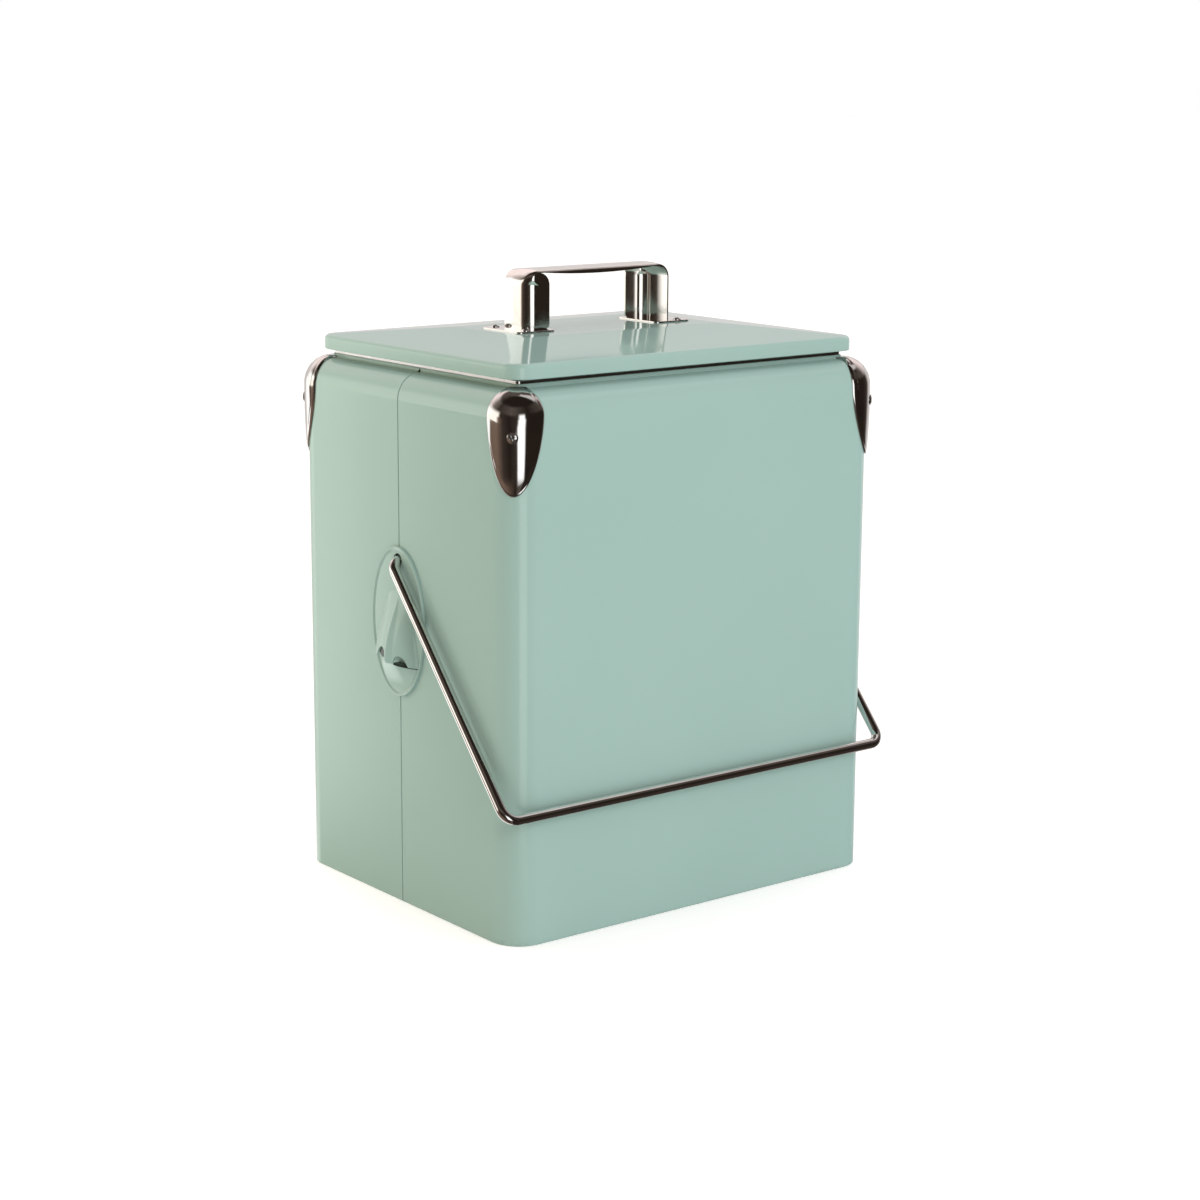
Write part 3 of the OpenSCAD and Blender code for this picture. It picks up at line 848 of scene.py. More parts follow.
@dataclass
class Screws:
    """Pan head screws with a cross recess, set out by a Geometry Nodes tree."""

    name: str
    seats: list[Point]
    axes: list[Point]
    head_radius: float
    head_height: float
    shank_radius: float
    shank_length: float
    seed: int
    slot_width: float = 0.9
    slot_depth: float = 0.95

    def tree(self) -> TreePlan:
        """Builds the tree that makes one screw and sets it on every point.

        Returns:
            The tree.
        """
        rise = self.head_height * 0.65
        dome = (self.head_radius**2 + rise**2) / (2 * rise)
        size = "NodeSocketFloat"
        plan = TreePlan(self.name + "_tree", {
            "Head Radius": (size, self.head_radius * MM),
            "Head Height": (size, self.head_height * MM),
            "Dome Radius": (size, dome * MM),
            "Slot Width": (size, self.slot_width * MM),
            "Slot Depth": (size, self.slot_depth * MM),
            "Shank Radius": (size, self.shank_radius * MM),
            "Shank Length": (size, self.shank_length * MM),
            "Spin Seed": ("NodeSocketInt", self.seed),
            "Material": ("NodeSocketMaterial", Finish.SCREW.material()),
        })
        height = plan.number("Head Height")
        drum = self.drum(plan, "Head Radius", "Head Height", height * 0.5)
        ball = plan.add("GeometryNodeMeshUVSphere", {}, {
            "Segments": ROUND_SIDES, "Rings": 72, "Radius": plan.take("Dome Radius"),
        })
        lifted = self.lift(plan, ball.outputs["Mesh"], height - plan.number("Dome Radius"))
        head = plan.add("GeometryNodeMeshBoolean", {"operation": "INTERSECT", "solver": "EXACT"})
        plan.tree.links.new(drum, head.inputs["Mesh 2"])
        plan.tree.links.new(lifted, head.inputs["Mesh 2"])
        cross = plan.add("GeometryNodeMeshBoolean", {"operation": "DIFFERENCE", "solver": "EXACT"}, {
            "Mesh 1": head.outputs["Mesh"],
        })
        for along in (True, False):
            plan.tree.links.new(self.slot(plan, along), cross.inputs["Mesh 2"])
        shank = self.drum(plan, "Shank Radius", "Shank Length", plan.number("Shank Length") * -0.5 + 0.00005)
        whole = plan.add("GeometryNodeJoinGeometry")
        plan.tree.links.new(cross.outputs["Mesh"], whole.inputs[0])
        plan.tree.links.new(shank, whole.inputs[0])
        axis = plan.add("GeometryNodeInputNamedAttribute", {"data_type": "FLOAT_VECTOR"}, {"Name": "axis"})
        aim = plan.add("FunctionNodeAlignRotationToVector", {"axis": "Z"}, {
            "Vector": axis.outputs["Attribute"],
        })
        placed = plan.add("GeometryNodeInstanceOnPoints", {}, {
            "Points": plan.take("Geometry"), "Instance": whole.outputs[0], "Rotation": aim.outputs[0],
        })
        spin = plan.add("FunctionNodeRandomValue", {"data_type": "FLOAT"}, {
            "Seed": plan.take("Spin Seed"), 2: 0.0, 3: math.tau / 4,
        })
        angle = plan.add("ShaderNodeCombineXYZ", {}, {"Z": spin.outputs[1]})
        turned = plan.add("GeometryNodeRotateInstances", {}, {
            "Instances": placed.outputs[0], "Rotation": angle.outputs[0],
        })
        plan.end(turned.outputs[0])
        return plan

    def drum(self, plan: TreePlan, radius: str, depth: str, height: Field) -> bpy.types.NodeSocket:
        """A cylinder at a height.

        Args:
            plan: The tree.
            radius: The named input that gives its radius.
            depth: The named input that gives its depth.
            height: Its middle's height.

        Returns:
            Its mesh.
        """
        node = plan.add("GeometryNodeMeshCylinder", {}, {
            "Vertices": ROUND_SIDES, "Radius": plan.take(radius), "Depth": plan.take(depth),
        })
        return self.lift(plan, node.outputs["Mesh"], height)

    def lift(self, plan: TreePlan, mesh: bpy.types.NodeSocket, height: Field) -> bpy.types.NodeSocket:
        """Moves a mesh up.

        Args:
            plan: The tree.
            mesh: The mesh.
            height: How far it goes.

        Returns:
            The moved mesh.
        """
        offset = plan.add("ShaderNodeCombineXYZ", {}, {"Z": height})
        moved = plan.add("GeometryNodeTransform", {}, {"Geometry": mesh, "Translation": offset.outputs[0]})
        return moved.outputs[0]

    def slot(self, plan: TreePlan, along: bool) -> bpy.types.NodeSocket:
        """One arm of the cross recess.

        Args:
            plan: The tree.
            along: Whether the arm runs along X, and not along Y.

        Returns:
            The arm's mesh.
        """
        reach = plan.number("Head Radius") * 1.1
        width = plan.number("Slot Width")
        size = plan.add("ShaderNodeCombineXYZ", {}, {
            "X": reach if along else width,
            "Y": width if along else reach,
            "Z": plan.number("Slot Depth") * 2.0,
        })
        cube = plan.add("GeometryNodeMeshCube", {}, {"Size": size.outputs[0]})
        return self.lift(plan, cube.outputs["Mesh"], plan.number("Head Height"))

    def build(self, body: Body, node: str) -> bpy.types.Object:
        """Makes the screws as one piece.

        Args:
            body: The body they ride on.
            node: The CAD node they stand for.

        Returns:
            The piece.
        """
        piece = point_cloud(self.name, self.seats, (), "axis", self.axes)
        self.tree().run(piece)
        smooth_shade(piece, 30)
        return dress(piece, Finish.SCREW, body, node)


# ---------------------------------------------------------------- chest


@dataclass
class Shell:
    """The painted shell: two pressed halves that meet in a seam on each side."""

    wide: float = 300.0
    deep: float = 240.0
    radius: float = 21.0
    shoulder: float = 17.0
    wall_top: float = 327.5
    top: float = 347.0
    sheet: float = 1.0
    gap: float = 0.8
    pivot: float = 226.0
    hole: float = 5.7
    lap_half: float = 9.0
    foot: float = 0.45
    neck_edge: float = 0.35
    inner_edge: float = 0.2
    burr: float = 0.3
    neck_radius: float = 2.5

    def profile(self) -> list[Pair]:
        """Section of the sheet, round its whole edge.

        Returns:
            Insets from the outer wall, with their heights.
        """
        neck = self.shoulder + self.sheet
        level = (self.shoulder, self.wall_top)
        outer = bend((self.foot, self.foot), self.foot, -90, -180, 4)
        outer += bend(level, self.shoulder, 180, 90, 20)
        outer += [(self.shoulder, self.top - self.neck_edge), (self.shoulder + self.neck_edge, self.top)]
        inner = [(neck - self.inner_edge, self.top), (neck, self.top - self.inner_edge)]
        inner += bend(level, self.shoulder - self.sheet, 94, 180, 20)
        return outer + inner + [(self.sheet, self.foot), (self.sheet - self.burr, 0.0)]

    def half_row(self, inset: float, height: float, sign: int) -> list[Point]:
        """Points along one half of the shell at one place of the profile.

        Args:
            inset: Distance inside the outer wall.
            height: Height above the ground.
            sign: -1 for the front half and 1 for the rear.

        Returns:
            The points, from the left seam to the right one.
        """
        x, y = self.wide / 2 - inset, self.deep / 2 - inset
        radius = max(self.radius - inset, self.neck_radius)
        start = self.gap / 2
        quarter = [(x - self.burr, start), (x - 0.3 * self.burr, start + 0.1), (x, start + 0.4)]
        quarter += bend((x - radius, y - radius), radius, 0, 90, CORNER_STEPS)
        left = [(-px, sign * py, height) for px, py in quarter]
        return left + [(px, sign * py, height) for px, py in reversed(quarter)]

    def drill(self, piece: bpy.types.Object) -> None:
        """Cuts the bail's hole through both sides of a piece."""
        cut(piece, bore((0, 0, self.pivot), (1, 0, 0), self.hole, self.wide + 20))

    def half(self, name: str, sign: int) -> bpy.types.Object:
        """Builds one half, with its holes for the bail.

        Args:
            name: The CAD node that it stands for.
            sign: -1 for the front half and 1 for the rear.

        Returns:
            The piece.
        """
        plan = MeshPlan()
        rows = plan.loft([self.half_row(i, z, sign) for i, z in self.profile()], around=False, loop=True)
        plan.cap([row[0] for row in rows])
        plan.cap([row[-1] for row in rows])
        piece = plan.build(name + "_painted")
        self.drill(piece)
        if sign > 0:
            laps = MeshPlan()
            for side in Side:
                self.lap(laps, side)
            strips = laps.build("laps")
            self.drill(strips)
            join(piece, strips)
        smooth_shade(piece)
        return dress(piece, Finish.PAINT, Body.CHEST, name)

    def lap(self, plan: MeshPlan, side: Side) -> None:
        """Adds the strip behind a seam, with rolled edges and a joggled flange.

        Args:
            plan: The mesh of the strips.
            side: The side of the seam.
        """
        x, y = self.wide / 2 - self.sheet - 0.1, self.lap_half
        section = [
            (x, -y + 0.4), (x, y - 2.0), (x + 0.1, y - 1.6), (x + 0.1, y), (x - 0.7, y), (x - 0.9, y - 0.3),
            (x - 0.9, -y + 0.3), (x - 0.7, -y), (x - 0.25, -y),
        ]
        rows = []
        for height in (12.5, 13.0, self.wall_top - 0.5, self.wall_top):
            rows.append([(side.value * px, py, height) for px, py in section])
        plan.solid(rows)

    def build(self) -> None:
        """Builds both halves and dresses the pan that closes them."""
        self.half("front_shell", -1)
        self.half("rear_shell", 1)
        dress_node("base_pan", Finish.PAINT)


@dataclass
class Liner:
    """The steel liner and the bright rim that joins it to the shell."""

    wide: float = 260.0
    deep: float = 200.0
    radius: float = 12.0
    sheet: float = 0.8
    floor: float = 24.0
    floor_radius: float = 8.0
    top: float = 348.6
    rim_wide: float = 263.8
    rim_deep: float = 203.8
    rim_radius: float = 2.9
    rim_top: float = 349.5
    spigot: float = 340.0
    lip: float = 343.5
    lip_gap: float = 0.1
    rim_sheet: float = 0.8
    rim_edge: float = 1.1
    floor_inset: float = 30.0
    floor_rise: float = 0.15

    def ring(self, outset: float, height: float) -> list[Point]:
        """A ring at a distance outside the liner's inner wall."""
        radius = max(self.radius + outset, 1.5)
        return rect_ring(self.wide + 2 * outset, self.deep + 2 * outset, radius, height)

    def bowl(self) -> bpy.types.Object:
        """Builds the liner: walls, round foot and floor.

        Returns:
            The piece.
        """
        r, t, top = self.floor_radius, self.sheet, self.top
        foot = (-r, self.floor + r)
        far, rise = -r - self.floor_inset, self.floor_rise
        profile = [(far, self.floor - t + rise), (-r, self.floor - t), *bend(foot, r + t, -82, 0, 8)]
        profile += [(t, top - 0.3), (t - 0.25, top), (0.25, top), (0, top - 0.3)]
        profile += [*bend(foot, r, 0, -82, 8), (-r, self.floor), (far, self.floor + rise)]
        plan = MeshPlan()
        plan.solid([self.ring(*at) for at in profile])
        return finished(plan, "inner_liner_brushed", Finish.LINER, Body.CHEST, "inner_liner")

    def collar(self, inset: float, height: float) -> list[Point]:
        """A ring inside the rim's outer face."""
        radius = max(self.rim_radius - inset, 1.2)
        return rect_ring(self.rim_wide - 2 * inset, self.rim_deep - 2 * inset, radius, height)

    def rim(self) -> bpy.types.Object:
        """Builds the rim: spigot, rounded top and the lip inside the liner.

        Returns:
            The piece.
        """
        t, edge, burr, top = self.rim_sheet, self.rim_edge, 0.3, self.rim_top
        face = -self.lip_gap - t
        outer = [(0.0, self.spigot + burr), (0.0, top - edge), *bend((edge, top - edge), edge, 165, 90, 6)]
        lip = bend((face + burr, top - burr), burr, 90, 180, 3)
        lip += [(face, self.lip + 0.2), (face + t / 2, self.lip), (face + t, self.lip + 0.2)]
        lip += [(face + t, top - t)]
        inner = [(t, top - t - 0.02), (t, self.spigot + burr), (t / 2, self.spigot)]
        rows = [self.collar(*at) for at in outer] + [self.ring(*at) for at in lip]
        plan = MeshPlan()
        plan.loft(rows + [self.collar(*at) for at in inner], loop=True)
        return finished(plan, "rim_collar_bright", Finish.RIM, Body.CHEST, "rim_collar")

    def build(self) -> None:
        """Builds the liner and the rim, and dresses the foam behind them."""
        self.bowl()
        self.rim()
        for name in ("foam_front", "foam_rear", "foam_left", "foam_right", "foam_floor"):
            dress_node(name, Finish.FOAM)


@dataclass
class Guards:
    """Four bright guards, domed over the shell's shoulders, each held by a screw."""

    shell: Shell
    half_wide: float = 17.5
    widest: float = 329.5
    tip: float = 48.0
    crown: float = 17.0
    sheet: float = 1.2
    fit: float = 0.1
    dome: float = 1.5
    roll: float = 1.5
    screw_height: float = 317.5
    heart_rise: float = 3.0
    edge: float = 0.25
    names: dict[tuple[int, int], str] = field(default_factory=lambda: {
        (-1, -1): "guard_front_left", (1, -1): "guard_front_right",
        (-1, 1): "guard_rear_left", (1, 1): "guard_rear_right",
    })

    def outline(self) -> list[Pair]:
        """The egg outline.

        Returns:
            Offsets across the corner, with their runs up the wall and shoulder.
        """
        reach = self.shell.shoulder + self.fit + self.sheet
        half = []
        for i in range(25):
            u = math.sin(math.pi / 2 * (1 - i / 24))
            half.append((self.half_wide * math.sqrt(max(1 - u**1.7, 0.0)), self.widest - self.tip * u))
        first = math.degrees(math.asin((self.widest - self.shell.wall_top) / reach))
        for angle in arc(first, 90, 14)[1:]:
            u = (self.shell.wall_top + reach * math.sin(angle) - self.widest) / self.crown
            across = self.half_wide * math.sqrt(max(1 - u * u, 0.0))
            half.append((across, self.shell.wall_top + reach * angle))
        wide, run = half[-1]
        half += [(wide * 0.7, run + 0.5), (wide * 0.35, run + 0.7)]
        return [*half[1:], (0.0, run + 0.75), *[(-w, v) for w, v in reversed(half[1:])], half[0]]

    def place(self, corner: tuple[int, int], w: float, v: float, lift: float) -> Point:
        """A point on the corner of the shell.

        Args:
            corner: Signs of X and Y.
            w: Distance across the corner's diagonal.
            v: Run up the wall, and on over the shoulder.
            lift: Distance from the shell's outer face.

        Returns:
            The point.
        """
        shell = self.shell
        reach = shell.shoulder + self.fit + self.sheet
        angle = min(max(v - shell.wall_top, 0.0) / reach, math.pi / 2)
        over = max(v - shell.wall_top - reach * math.pi / 2, 0.0)
        radius = shell.radius - shell.shoulder + (shell.shoulder + lift) * math.cos(angle) - over
        height = min(v, shell.wall_top) + (shell.shoulder + lift) * math.sin(angle)
        bend = radius / math.sqrt(2)
        out = math.sqrt(radius**2 - w * w) if abs(w) <= bend else radius * math.sqrt(2) - abs(w)
        sx, sy = corner
        diagonal = Vector((sx, sy, 0)).normalized()
        across = Vector((-sy, sx, 0)).normalized()
        centre = Vector((sx * (shell.wide / 2 - shell.radius), sy * (shell.deep / 2 - shell.radius), height))
        return tuple(centre + diagonal * out + across * w)

    def guard(self, corner: tuple[int, int]) -> bpy.types.Object:
        """Builds one guard: domed face, rolled edge and flat back.

        Args:
            corner: Signs of X and Y.

        Returns:
            The piece.
        """
        outline = self.outline()
        heart = self.screw_height + self.heart_rise
        full = self.fit + self.sheet

        def row(inset: float, lift: float, share: float = 1.0) -> list[Point]:
            """A ring of the guard.

            Args:
                inset: Its distance inside the outline.
                lift: Its distance from the shell's outer face.
                share: Its share of the outline's size.

            Returns:
                The points.
            """
            points = []
            for w, v in outline:
                scale = share * max(1 - inset / math.hypot(w, v - heart), 0.0)
                rise = self.dome * (1 - scale**2.6) if lift > self.fit else 0.0
                points.append(self.place(corner, w * scale, heart + (v - heart) * scale, lift + rise))
            return points

        rows = [row(0.0, self.fit, share) for share in (0.02, 0.3, 0.55, 0.75, 0.88)]
        rows += [row(self.roll, self.fit), row(self.edge, self.fit)]
        low = self.fit + self.edge
        for angle in arc(0, 90, 6):
            inset = self.roll * 0.62 * (1 - math.cos(angle))
            rows.append(row(inset, low + (full - 0.1 - low) * math.sin(angle)))
        rows += [row(self.roll * 1.05, full - 0.22), row(self.roll * 1.6, full - 0.12)]
        rows += [row(0.0, full, share) for share in (0.9, 0.84, 0.76, 0.66, 0.54, 0.4, 0.26, 0.13, 0.02)]
        plan = MeshPlan()
        plan.solid(rows)
        name = self.names[corner]
        return finished(plan, name + "_plated", Finish.GUARD, Body.CHEST, name, 60)

    def build(self) -> None:
        """Builds the guards and their screws."""
        seats, axes = [], []
        for corner in self.names:
            self.guard(corner)
            lift = self.fit + self.sheet + self.dome - 0.05
            seats.append(self.place(corner, 0.0, self.screw_height, lift))
            axes.append(tuple(Vector((*corner, 0)).normalized()))
        screws = Screws(
            "guard_screws_steel", seats, axes, head_radius=3.5, head_height=1.5, shank_radius=1.7,
            shank_length=7.0, seed=7,
        )
        screws.build(Body.CHEST, "guard_screws")


@dataclass
class SidePlate:
    """An oval plate round each end of the bail; the left one has the opener's hood."""

    side: Side
    face: float = 151.2
    back: float = 150.0
    half_wide: float = 29.0
    half_high: float = 48.5
    middle: float = 186.5
    pivot: float = 226.0
    hole: float = 4.7
    bead_wide: float = 2.0
    bead_high: float = 0.9
    bead_edge: float = 0.8
    bead_fade: float = 0.6
    crown: float = 0.25
    spokes: int = 128
    hood_top: float = 208.0
    mouth: float = 163.0
    scallop: float = 8.0
    hood_reach: float = 14.0
    hood_half: float = 23.0
    hood_tilt: float = 3.0
    hood_sheet: float = 1.2
    belly: float = 6.0
    belly_foot: float = 143.0
    belly_half: float = 22.0
    belly_rise: float = 5.0
    belly_fall: float = 7.0

    def swell(self, y: float, z: float) -> float:
        """Height of the plate's face over its plain level, with the swelling below the opener.

        Args:
            y: Place along Y.
            z: Place along Z.

        Returns:
            The height.
        """
        share = math.hypot(y / self.half_wide, (z - self.middle) / self.half_high)
        rise = self.crown * (1 - min(share, 1.0) ** 2)
        if self.side is Side.LEFT:
            crest = self.mouth + self.belly_rise
            climb = smooth((z - self.belly_foot) / (crest - self.belly_foot))
            along = climb - smooth((z - crest) / self.belly_fall)
            rise += self.belly * along * max(1 - (y / self.belly_half) ** 2, 0.0) ** 1.5
        return rise

    def row(self, inset: float, out: float, share: float = 1.0, swollen: bool = False) -> list[Point]:
        """An oval ring of the plate.

        Args:
            inset: Distance inside the plate's edge.
            out: Distance from the chest's middle plane.
            share: Share of the oval's size.
            swollen: Whether the ring follows the swelling of the face.

        Returns:
            The points.
        """
        points = []
        for angle in arc(0, 360, self.spokes)[:-1]:
            y = (self.half_wide - inset) * share * math.cos(angle)
            z = self.middle + (self.half_high - inset) * share * math.sin(angle)
            lift = self.swell(y, z) if swollen else 0.0
            points.append((self.side.value * (out + lift), y, z))
        return points

    def plate(self, plan: MeshPlan) -> None:
        """Adds the oval plate with its rounded bead.

        Args:
            plan: The plate's mesh.
        """
        edge, crest = self.bead_edge, self.face + self.bead_high
        inner = self.bead_wide + self.bead_fade
        rows = [self.row(0, self.back, share) for share in (0.05, 0.97)]
        rows += [self.row(0.1, self.back), self.row(0.0, self.back + 0.1)]
        rows += [self.row(*at) for at in bend((edge, crest - edge), edge, 180, 90, 5)]
        for share in (i / 6 for i in range(1, 7)):
            rows.append(self.row(edge + (inner - edge) * share, crest - self.bead_high * smooth(share)))
        rows += [self.row(inner, self.face, 0.985 * (1 - i / 24) + 0.004, True) for i in range(24)]
        plan.solid(rows)

    def hood_at(self, u: float, run: float) -> tuple[float, float, float]:
        """Where a point of the hood lies.

        Args:
            u: -1 at the hood's front edge, 0 on its middle line and 1 at its rear edge.
            run: 0 at the hood's top and 1 at the level of its mouth.

        Returns:
            Y, Z and the height above the plate.
        """
        half = 5.0 + (self.hood_half - 5.0) * max(run, 0.0) ** 0.5
        bell = max(1 - u * u, 0.0) ** 0.75
        ridge = max(1 - abs(u + 0.18) / 0.17, 0.0)
        swell = math.sin(min(max(run, 0.0), 1.0) * math.pi / 2) ** 1.3
        z = self.hood_top - run * (self.hood_top - self.mouth)
        return half * u, z, self.hood_reach * swell * (0.85 * bell + 0.14 * ridge)

    def hood_line(self, u: float, t: float) -> tuple[float, float, float]:
        """Where a line of the hood lies, down to its scalloped mouth.

        Args:
            u: -1 at the hood's front edge, 0 on its middle line and 1 at its rear edge.
            t: 0 at the hood's top and 1 at its mouth.

        Returns:
            Y, Z and the height above the plate.
        """
        rear = (0.12, 0.30, 0.7, 1.0)
        front = (-0.58, 0.19, 0.35, 0.75)
        middle, reach, power, depth = rear if u > -0.25 else front
        share = min(abs(u - middle) / reach, 1.0)
        scallop = max(math.cos(math.pi / 2 * share), 0.0) ** power
        low = self.mouth + self.hood_tilt * u + self.scallop * depth * scallop
        return self.hood_at(u, t * (self.hood_top - low) / (self.hood_top - self.mouth))

    def hood(self, plan: MeshPlan) -> None:
        """Adds the opener's hood, a creased bell over a scalloped mouth.

        Args:
            plan: The hood's mesh.
        """
        across, down = 60, 32

        def surface(i: int, j: int, depth: float) -> Point:
            """A point of the hood.

            Args:
                i: Its step across.
                j: Its step down.
                depth: 0 on the outer face, or the distance to the inner one.

            Returns:
                The point.
            """
            y, z, rise = self.hood_line(-1 + 2 * i / across, j / down)
            out = self.face + max(rise - depth, -0.5) - 0.1
            return (self.side.value * out, y * (1 - depth * 0.03), z)

        faces = []
        for depth in (0.0, self.hood_sheet):
            rows = [[surface(i, j, depth) for i in range(across + 1)] for j in range(down + 1)]
            faces.append(plan.loft(rows, around=False))
        plan.bridge(*[rim_of(rows) for rows in faces])

    def hollow(self) -> bpy.types.Object:
        """Builds a block behind each opening of the hood, painted near black as the shade inside it.

        Returns:
            The blocks, as one object.
        """
        plan = MeshPlan()
        across, down = 16, 12
        slope = self.hood_tilt / (self.hood_top - self.mouth)
        rear, front = (-0.22, 0.48, 0.55, 0.97, 0.06), (-0.97, -0.36, 0.985, 1.02, 0.0)
        for first, last, top, foot, taper in (rear, front):
            rows = []
            for j in range(down + 1):
                near, far = [], []
                for i in range(across + 1):
                    u = first + (last - first) * i / across
                    end = foot - taper * (2 * i / across - 1) ** 2
                    y, z, rise = self.hood_at(u, top + (end - top) * j / down - slope * u)
                    out = self.face + max(rise - self.hood_sheet * 1.1, 0.5)
                    near.append((self.side.value * out, y * 0.96, z))
                    far.append((self.side.value * (self.face + 0.1), y * 0.96, z))
                rows.append(near + list(reversed(far)))
            plan.solid(rows)
        return plan.build("hollow")

    def build(self) -> bpy.types.Object:
        """Builds the plate, with its hole for the bail.

        Returns:
            The piece.
        """
        name = "side_plate_left" if self.side is Side.LEFT else "side_plate_right"
        plan = MeshPlan()
        self.plate(plan)
        piece = plan.build(name + "_painted")
        cut(piece, bore((self.side.value * self.face, 0, self.pivot), (1, 0, 0), self.hole, 12))
        if self.side is Side.LEFT:
            hooded = MeshPlan()
            self.hood(hooded)
            join(piece, hooded.build("hood"))
            plain = len(piece.data.vertices)
            # painted shade: blocks behind the hood's openings, marked below so that the paint turns near
            # black there
            join(piece, self.hollow())
            shaded = len(piece.data.vertices) - plain
            store = piece.data.attributes.new("hollow", "FLOAT", "POINT")
            store.data.foreach_set("value", [0.0] * plain + [1.0] * shaded)
        smooth_shade(piece, 42)
        return dress(piece, Finish.PAINT, Body.CHEST, name)


# ---------------------------------------------------------------- bail


@dataclass
class Bail:
    """The wire bail, one rod bent at its pivots and at its crossbar."""

    rod: float = 3.5
    arm_x: float = 156.5
    stub: float = 139.4
    pivot: float = 226.0
    arm: float = 188.0
    rest: float = 41.227
    pivot_bend: float = 8.0
    bar_bend: float = 9.0

    def tree(self) -> TreePlan:
        """Builds the tree that rounds the path's corners and sweeps the rod along it.

        Returns:
            The tree.
        """
        plan = TreePlan("bail_tree", {
            "Rod Radius": ("NodeSocketFloat", self.rod * MM),
            "Bend Steps": ("NodeSocketInt", 14),
            "Sides": ("NodeSocketInt", 40),
            "Material": ("NodeSocketMaterial", Finish.BAIL.material()),
        })
        line = plan.add("GeometryNodeMeshToCurve", {}, {"Mesh": plan.take("Geometry")})
        bend = plan.add("GeometryNodeInputNamedAttribute", {"data_type": "FLOAT"}, {"Name": "bend"})
        path = plan.add("GeometryNodeFilletCurve", {"mode": "POLY"}, {
            "Curve": line.outputs[0], "Count": plan.take("Bend Steps"), "Radius": bend.outputs["Attribute"],
        })
        ring = plan.add("GeometryNodeCurvePrimitiveCircle", {"mode": "RADIUS"}, {
            "Resolution": plan.take("Sides"), "Radius": plan.take("Rod Radius"),
        })
        tube = plan.add("GeometryNodeCurveToMesh", {}, {
            "Curve": path.outputs[0], "Profile Curve": ring.outputs["Curve"], "Fill Caps": True,
        })
        plan.end(tube.outputs[0])
        return plan

    def build(self) -> bpy.types.Object:
        """Builds the rod and dresses the parts that hold it.

        Returns:
            The rod.
        """
        lean = math.radians(self.rest)
        bar = (-self.arm * math.sin(lean), self.pivot - self.arm * math.cos(lean))
        half = [(self.stub, 0.0, self.pivot), (self.arm_x, 0.0, self.pivot), (self.arm_x, *bar)]
        points = [(-x, y, z) for x, y, z in half] + list(reversed(half))
        bends = [0.0, self.pivot_bend, self.bar_bend, self.bar_bend, self.pivot_bend, 0.0]
        edges = [(i, i + 1) for i in range(len(points) - 1)]
        piece = point_cloud("bail_rod_plated", points, edges, "bend", [b * MM for b in bends])
        self.tree().run(piece)
        smooth_shade(piece, 50)
        dress(piece, Finish.BAIL, Body.BAIL, "bail_rod")
        for name in ("bail_anchor_left", "bail_anchor_right", "bail_retainers"):
            dress_node(name, Finish.ZINC)
        return piece


# ---------------------------------------------------------------- lid


